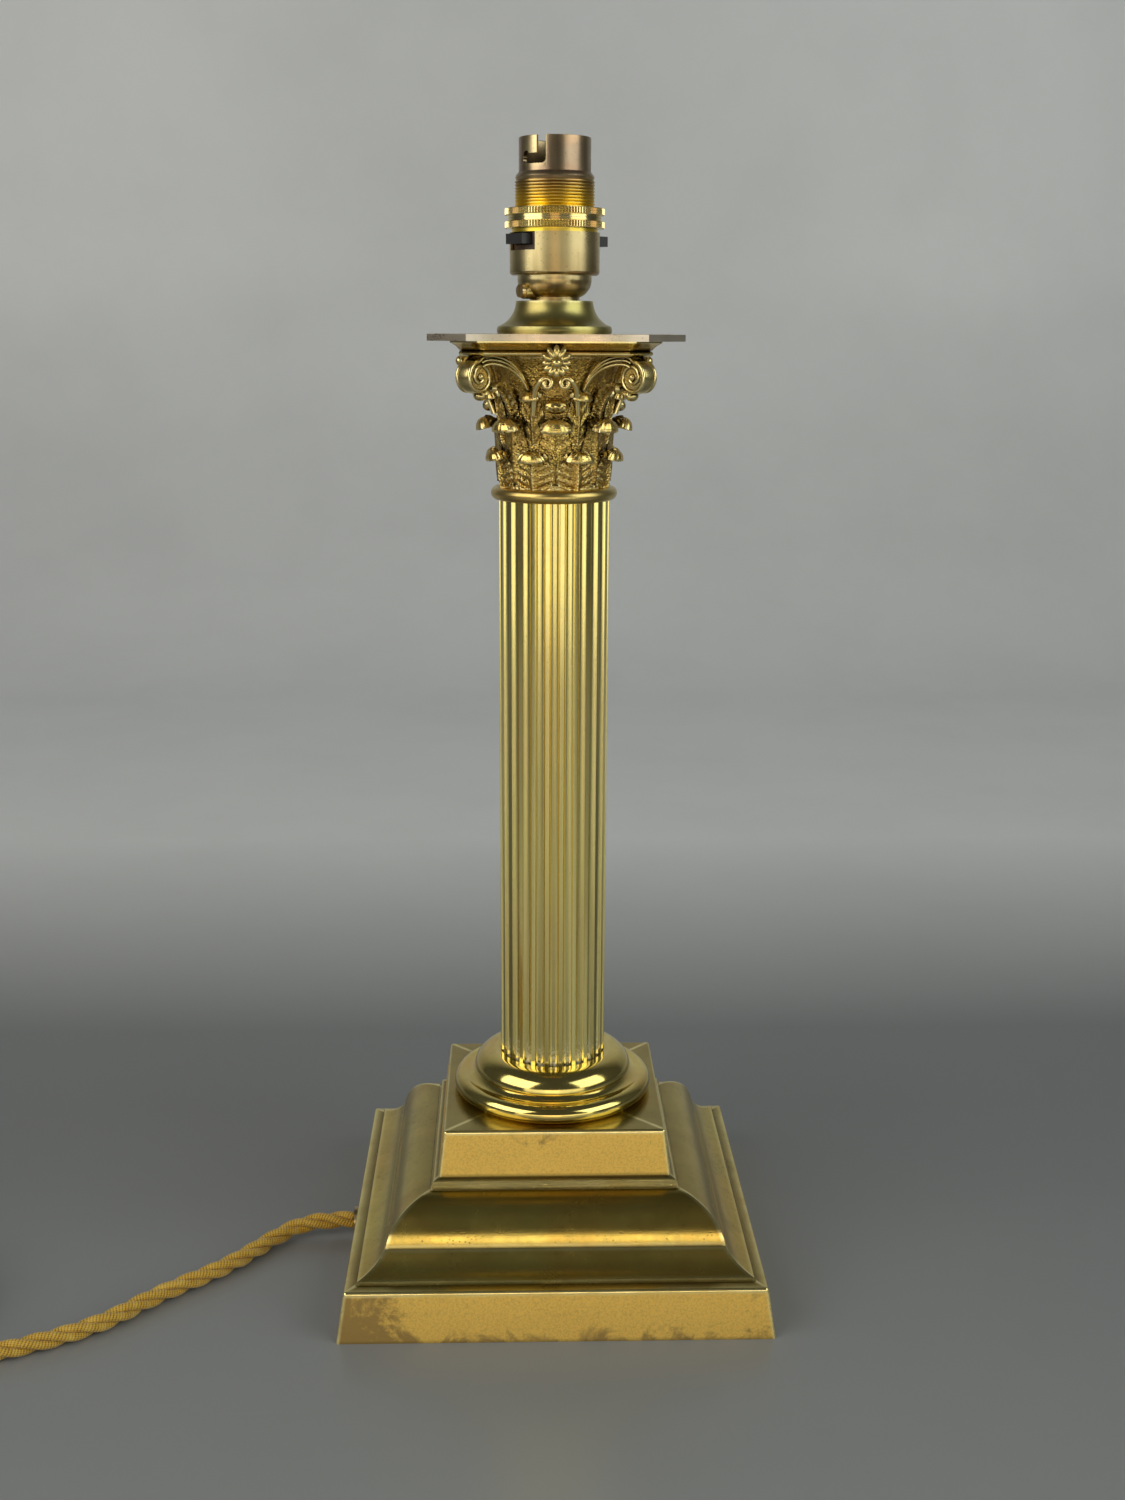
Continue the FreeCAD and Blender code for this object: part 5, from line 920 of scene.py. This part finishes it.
# two milled shade rings
shadeRing = {
    "teeth": 100,
    "rim": 17.6,
    "collar": 16.5,
    "bore": 14.15,
    "rimHeight": 2.35,
    "toothDepth": 0.04,
    "lower": (390.2, 393.55),
    "upper": (393.65, 397.0),
}


def buildRing(name, choice, low, high, rimLow, rimHigh):
    rim, collar = choice["rim"], choice["collar"]
    profile = [(choice["bore"], low), (rim if rimLow == low else collar, low)]
    if rimLow > low:
        profile += [(collar, rimLow), (rim - 0.15, rimLow)]
    else:
        profile[1] = (rim - 0.15, low)
    profile += [(rim, rimLow + 0.2), (rim, rimHigh - 0.2), (rim - 0.15, rimHigh)]
    if rimHigh < high:
        profile += [(collar, rimHigh), (collar, high)]
    profile.append((choice["bore"], high))
    piece = turnedPiece(name, profile, choice["teeth"] * 2)
    step = math.pi / choice["teeth"]
    pick(piece, lambda spot: math.hypot(spot.x, spot.y) > rim - 0.3
         and round(math.atan2(spot.y, spot.x) / step) % 2 == 1)
    bpy.ops.transform.resize(value=(1 - choice["toothDepth"], 1 - choice["toothDepth"], 1), center_override=(0, 0, 0))
    toObject()
    return piece


low, high = shadeRing["lower"]
milledLower = buildRing("milledLowerRing", shadeRing, low, high, low, low + shadeRing["rimHeight"])
smooth(milledLower, 20.0)
standIn(milledLower, "lower_ring", "ring_brass", ringMetal, "lower_shade_ring")
low, high = shadeRing["upper"]
milledUpper = buildRing("milledUpperRing", shadeRing, low, high, high - shadeRing["rimHeight"], high)
smooth(milledUpper, 20.0)
standIn(milledUpper, "upper_ring", "ring_brass", ringMetal, "upper_shade_ring")
print("stage: rings")

flexRoute = {
    "exit": (-0.0795, 0.0, 0.0062),
    "points": [(-0.096, 0.0, 0.0062), (-0.109, -0.0065, 0.0035), (-0.1245, -0.0295, 0.0035),
               (-0.1495, -0.051, 0.0035), (-0.166, -0.071, 0.0035), (-0.194, -0.0862, 0.0035),
               (-0.2442, -0.1064, 0.0045)],
    "coilCentre": (-0.270, -0.063),
    "coilRadius": 0.050,
    "coilStep": 0.00725,
    "coilHeight": 0.0045,
    "entryAngle": 293.0,
    "sweep": 2273.0,
    "climb": 180.0,
    "pointsPerTurn": 16,
    "tail": [(-0.320, -0.0562, 0.01175), (-0.320, -0.0327, 0.01175), (-0.320, -0.0092, 0.01175)],
    "diameter": 0.0068,
    "length": 1.79,
}
flexStrand = {
    "count": 3,
    "radius": 0.00158,
    "offset": 0.00182,
    "twist": 0.031,
    "sides": 12,
    "step": 0.0012,
}


def coilPoints(choice):
    points = []
    steps = round(choice["sweep"] / 360.0 * choice["pointsPerTurn"])
    turnStep = choice["sweep"] / steps
    outward = 1 / math.cos(math.radians(turnStep / 2))
    for number in range(steps + 1):
        travel = turnStep * number
        half = choice["sweep"] / 2
        inward = min(travel, choice["sweep"] - travel)
        radius = (choice["coilRadius"] - choice["coilStep"] * inward / 360.0) * outward
        share = min(max((travel - half) / choice["climb"] + 0.5, 0.0), 1.0)
        height = choice["coilHeight"] + choice["coilStep"] * share * share * (3 - 2 * share)
        angle = math.radians(choice["entryAngle"] - travel)
        points.append((choice["coilCentre"][0] + radius * math.cos(angle),
                       choice["coilCentre"][1] + radius * math.sin(angle), height))
    return points


def drawRoute(name, points):
    # the route as one smooth NURBS spline, and the points that it gives
    curve = bpy.data.curves.new(name, "CURVE")
    curve.dimensions = "3D"
    spline = curve.splines.new("NURBS")
    spline.points.add(len(points) - 1)
    for point, place in zip(spline.points, points):
        point.co = (*place, 1)
    spline.order_u = 3
    spline.use_endpoint_u = True
    spline.resolution_u = 20
    holder = bpy.data.objects.new(name, curve)
    mesh = bpy.data.meshes.new_from_object(holder)
    line = [vertex.co.copy() for vertex in mesh.vertices]
    bpy.data.meshes.remove(mesh)
    bpy.data.objects.remove(holder)
    bpy.data.curves.remove(curve)
    return line


def evenly(line, step):
    lengths = [0.0]
    for first, second in zip(line, line[1:]):
        lengths.append(lengths[-1] + (second - first).length)
    count = max(2, round(lengths[-1] / step))
    found, at = [], 0
    for number in range(count + 1):
        wanted = lengths[-1] * number / count
        while at < len(line) - 2 and lengths[at + 1] < wanted:
            at += 1
        span = max(lengths[at + 1] - lengths[at], 1e-9)
        found.append(line[at].lerp(line[at + 1], min((wanted - lengths[at]) / span, 1.0)))
    return found


def twistStrands(name, line, choice):
    # three strands laid round the line, each with its length and girth as a UV map
    centres = evenly(line, choice["step"])
    tangents = [(centres[min(i + 1, len(centres) - 1)] - centres[max(i - 1, 0)]).normalized()
                for i in range(len(centres))]
    side = tangents[0].cross(Vector((0, 0, 1))).normalized()
    frames = []
    for tangent in tangents:
        side = (side - tangent * side.dot(tangent)).normalized()
        frames.append((side.copy(), tangent.cross(side)))
    spacing = (centres[1] - centres[0]).length
    vertices, faces, uvs = [], [], []
    sides = choice["sides"]
    for strand in range(choice["count"]):
        start = len(vertices)
        path = []
        for number, (centre, (across, up)) in enumerate(zip(centres, frames)):
            turn = 2 * math.pi * (number * spacing / choice["twist"] + strand / choice["count"])
            path.append(centre + (across * math.cos(turn) + up * math.sin(turn)) * choice["offset"])
        for number, point in enumerate(path):
            heading = (path[min(number + 1, len(path) - 1)] - path[max(number - 1, 0)]).normalized()
            across = frames[number][0]
            across = (across - heading * across.dot(heading)).normalized()
            up = heading.cross(across)
            for corner in range(sides):
                turn = 2 * math.pi * corner / sides
                vertices.append(point + (across * math.cos(turn) + up * math.sin(turn)) * choice["radius"])
        for number in range(len(path) - 1):
            u0, u1 = number * spacing, (number + 1) * spacing
            for corner in range(sides):
                a = start + number * sides + corner
                b = start + number * sides + (corner + 1) % sides
                faces.append((a, b, b + sides, a + sides))
                v0, v1 = corner / sides, (corner + 1) / sides
                uvs += (u0, v0, u0, v1, u1, v1, u1, v0)
        for ring, order in ((0, -1), (len(path) - 1, 1)):
            faces.append(tuple(start + ring * sides + corner for corner in range(sides))[::order])
            for corner in range(sides):
                uvs += (ring * spacing, corner / sides)
    mesh = bpy.data.meshes.new(name)
    mesh.from_pydata(vertices, [], faces)
    mesh.uv_layers.new(name="braid").data.foreach_set("uv", uvs)
    mesh.polygons.foreach_set("use_smooth", [True] * len(mesh.polygons))
    piece = bpy.data.objects.new(name, mesh)
    bpy.context.collection.objects.link(piece)
    return piece, centres


silk = {
    "gold": (0.70, 0.42, 0.04),
    "deep": (0.22, 0.10, 0.008),
    "light": (0.86, 0.60, 0.12),
    "ribs": 950.0,
    "threads": 12.0,
    "slant": -220.0,
}


def silkMaterial(choice):
    # fine threads wound across each strand, laid over long ones, with a soft sheen
    material, tree, shader, place = newMaterial("goldSilk")
    along, girth = axes(tree, addNode(tree, "ShaderNodeUVMap", {"uv_map": "braid"}).outputs[0])[:2]

    def wound(lengthwise, crosswise):
        lean = maths(tree, "ADD", times(tree, along, lengthwise), times(tree, girth, crosswise))
        return maths(tree, "ABSOLUTE", maths(tree, "SINE", times(tree, lean, math.pi)))

    thread, cord = wound(choice["ribs"], 2.0), wound(choice["slant"], choice["threads"])
    uneven = noise(tree, place, 260.0, 4.0)
    weave = maths(tree, "ADD", times(tree, thread, 0.65), times(tree, cord, 0.35))
    colour = mixColour(tree, spread(tree, weave, 0.2, 0.75), choice["deep"], choice["gold"])
    colour = mixColour(tree, times(tree, spread(tree, uneven, 0.45, 0.75), 0.6), colour, choice["light"])
    tree.links.new(colour, shader.inputs["Base Color"])
    tree.links.new(spread(tree, weave, 0.0, 1.0, 0.62, 0.40), shader.inputs["Roughness"])
    shader.inputs["Sheen Weight"].default_value = 0.35
    shader.inputs["Sheen Roughness"].default_value = 0.4
    bumped(tree, shader, 0.8, 0.4 * mm, weave)
    return material


goldSilk = silkMaterial(silk)
routePoints = [flexRoute["exit"], *flexRoute["points"], *coilPoints(flexRoute), *flexRoute["tail"]]
flexLine = drawRoute("flexRoute", routePoints)
twistedFlex, flexPath = twistStrands("twistedFlex", flexLine, flexStrand)
twistedFlex.data.materials.append(goldSilk)
dress(["inner_flex"], goldSilk)
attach(twistedFlex, "root")
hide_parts("flex_free", "flex_coil", "flex_tail")
print("stage: flex", len(flexPath))

studio = {
    "floorFront": -1.9,
    "floorBack": 1.55,
    "sweep": 0.50,
    "wallTop": 2.6,
    "halfWidth": 2.6,
    "floorTone": (0.19, 0.198, 0.21),
    "nearTone": (0.34, 0.35, 0.365),
    "wallTone": (0.82, 0.83, 0.85),
    "cloudTone": (0.08, 0.08, 0.085),
    "clouds": 0.05,
    "scuffTone": (0.45, 0.45, 0.46),
    "scuffs": 0.10,
    "paleFrom": (0.21, 0.56),  # how far back the table turns to the wall's tone
    "nearFrom": (0.12, -0.34),  # and where it turns to the near tone
    "sheen": 0.30,
    "worldTone": (0.62, 0.66, 0.64),
    "worldStrength": 0.10,
}
# level is how bright a softbox looks, turn is its angle from the front, to the right
softboxes = {
    "leftSoftbox": {"turn": -57, "rise": 30, "distance": 1.5, "width": 1.3, "height": 1.15, "level": 2.3,
                    "tone": (1.0, 0.98, 0.88), "aimHeight": 0.15},
    "rightSoftbox": {"turn": 60, "rise": 30, "distance": 1.5, "width": 1.15, "height": 1.15, "level": 2.1,
                     "tone": (0.94, 1.0, 0.93), "aimHeight": 0.15},
    "frontPanel": {"turn": 2, "rise": 0, "distance": 1.2, "width": 2.2, "height": 0.33, "level": 1.3,
                   "tone": (1.0, 0.97, 0.78), "aimHeight": 0.20},
    "warmRoom": {"turn": -1, "rise": 2, "distance": 2.0, "width": 0.7, "height": 0.5, "level": 0.8,
                 "tone": (1.0, 0.62, 0.32), "aimHeight": 0.25},
}
# lights the backdrop alone, from above and behind the lamp, and faces away from it
wallWash = {"place": (0.0, 0.50, 1.30), "way": (0.0, 1.0, -0.36), "width": 2.6, "height": 0.4, "level": 0.75,
            "tone": (1.0, 1.0, 1.0)}


def addBackdrop(choice):
    # table and backdrop as one sheet: a floor, its back edge pulled up, and the fold between them rounded
    front, back = choice["floorFront"], choice["floorBack"]
    bpy.ops.mesh.primitive_plane_add(size=1, location=(0, (front + back) / 2, 0))
    bpy.context.object.scale = (2 * choice["halfWidth"], back - front, 1)
    sheetPiece = place(bpy.context.object, "backdrop")
    pick(sheetPiece, lambda spot: spot.y > back / mm - 1)
    bpy.ops.mesh.extrude_region_move(TRANSFORM_OT_translate={"value": (0, 0, choice["wallTop"])})
    pick(sheetPiece, lambda spot: spot.y > back / mm - 1 and spot.z < 1)
    bpy.ops.mesh.bevel(offset=choice["sweep"], segments=24, affect="EDGES")
    outward()
    bpy.ops.object.shade_smooth()
    bpy.ops.object.select_all(action="DESELECT")
    material, tree, shader, spot = newMaterial("greyTable")
    y, z = axes(tree, spot)[1:3]
    colour = mixColour(tree, spread(tree, y, *choice["nearFrom"]), choice["floorTone"], choice["nearTone"])
    colour = mixColour(tree, spread(tree, y, *choice["paleFrom"]), colour, choice["wallTone"])
    cloud = times(tree, spread(tree, noise(tree, spot, 7.0, 4.0), 0.4, 0.7), choice["clouds"])
    colour = mixColour(tree, cloud, colour, choice["cloudTone"])
    scratch = noise(tree, stretched(tree, spot, (12.0, 220.0, 12.0)), 1.0, 2.0, 0.7, 0.4)
    near = times(tree, spread(tree, z, 0.004, 0.001), spread(tree, y, 0.1, -0.1))
    scuffs = times(tree, times(tree, spread(tree, scratch, 0.68, 0.80), choice["scuffs"]), near)
    colour = mixColour(tree, scuffs, colour, choice["scuffTone"])
    tree.links.new(colour, shader.inputs["Base Color"])
    shader.inputs["Roughness"].default_value = choice["sheen"]
    sheetPiece.data.materials.append(material)


def areaLight(name, lamp, spot, way):
    bpy.ops.object.light_add(type="AREA", location=spot)
    light = bpy.context.object
    light.name = name
    light.data.shape = "RECTANGLE"
    light.data.size, light.data.size_y = lamp["width"], lamp["height"]
    light.data.energy = lamp["level"] * math.pi * lamp["width"] * lamp["height"]
    light.data.color = lamp["tone"]
    light.rotation_euler = way.to_track_quat("-Z", "Y").to_euler()


def addLamp(name, lamp):
    turn, rise = math.radians(lamp["turn"]), math.radians(lamp["rise"])
    way = Vector((math.sin(turn) * math.cos(rise), -math.cos(turn) * math.cos(rise), math.sin(rise)))
    areaLight(name, lamp, Vector((0, 0, lamp["aimHeight"])) + way * lamp["distance"], -way)


def addWorld(choice):
    world = bpy.data.worlds.new("studioWorld")
    bpy.context.scene.world = world
    world.use_nodes = True
    background = world.node_tree.nodes["Background"]
    background.inputs["Color"].default_value = (*choice["worldTone"], 1)
    background.inputs["Strength"].default_value = choice["worldStrength"]


addBackdrop(studio)
addWorld(studio)
for name, lamp in softboxes.items():
    addLamp(name, lamp)
areaLight("wallWash", wallWash, wallWash["place"], Vector(wallWash["way"]))
bpy.context.scene.view_settings.view_transform = "Standard"
print("stage: studio")

print("stage: done")
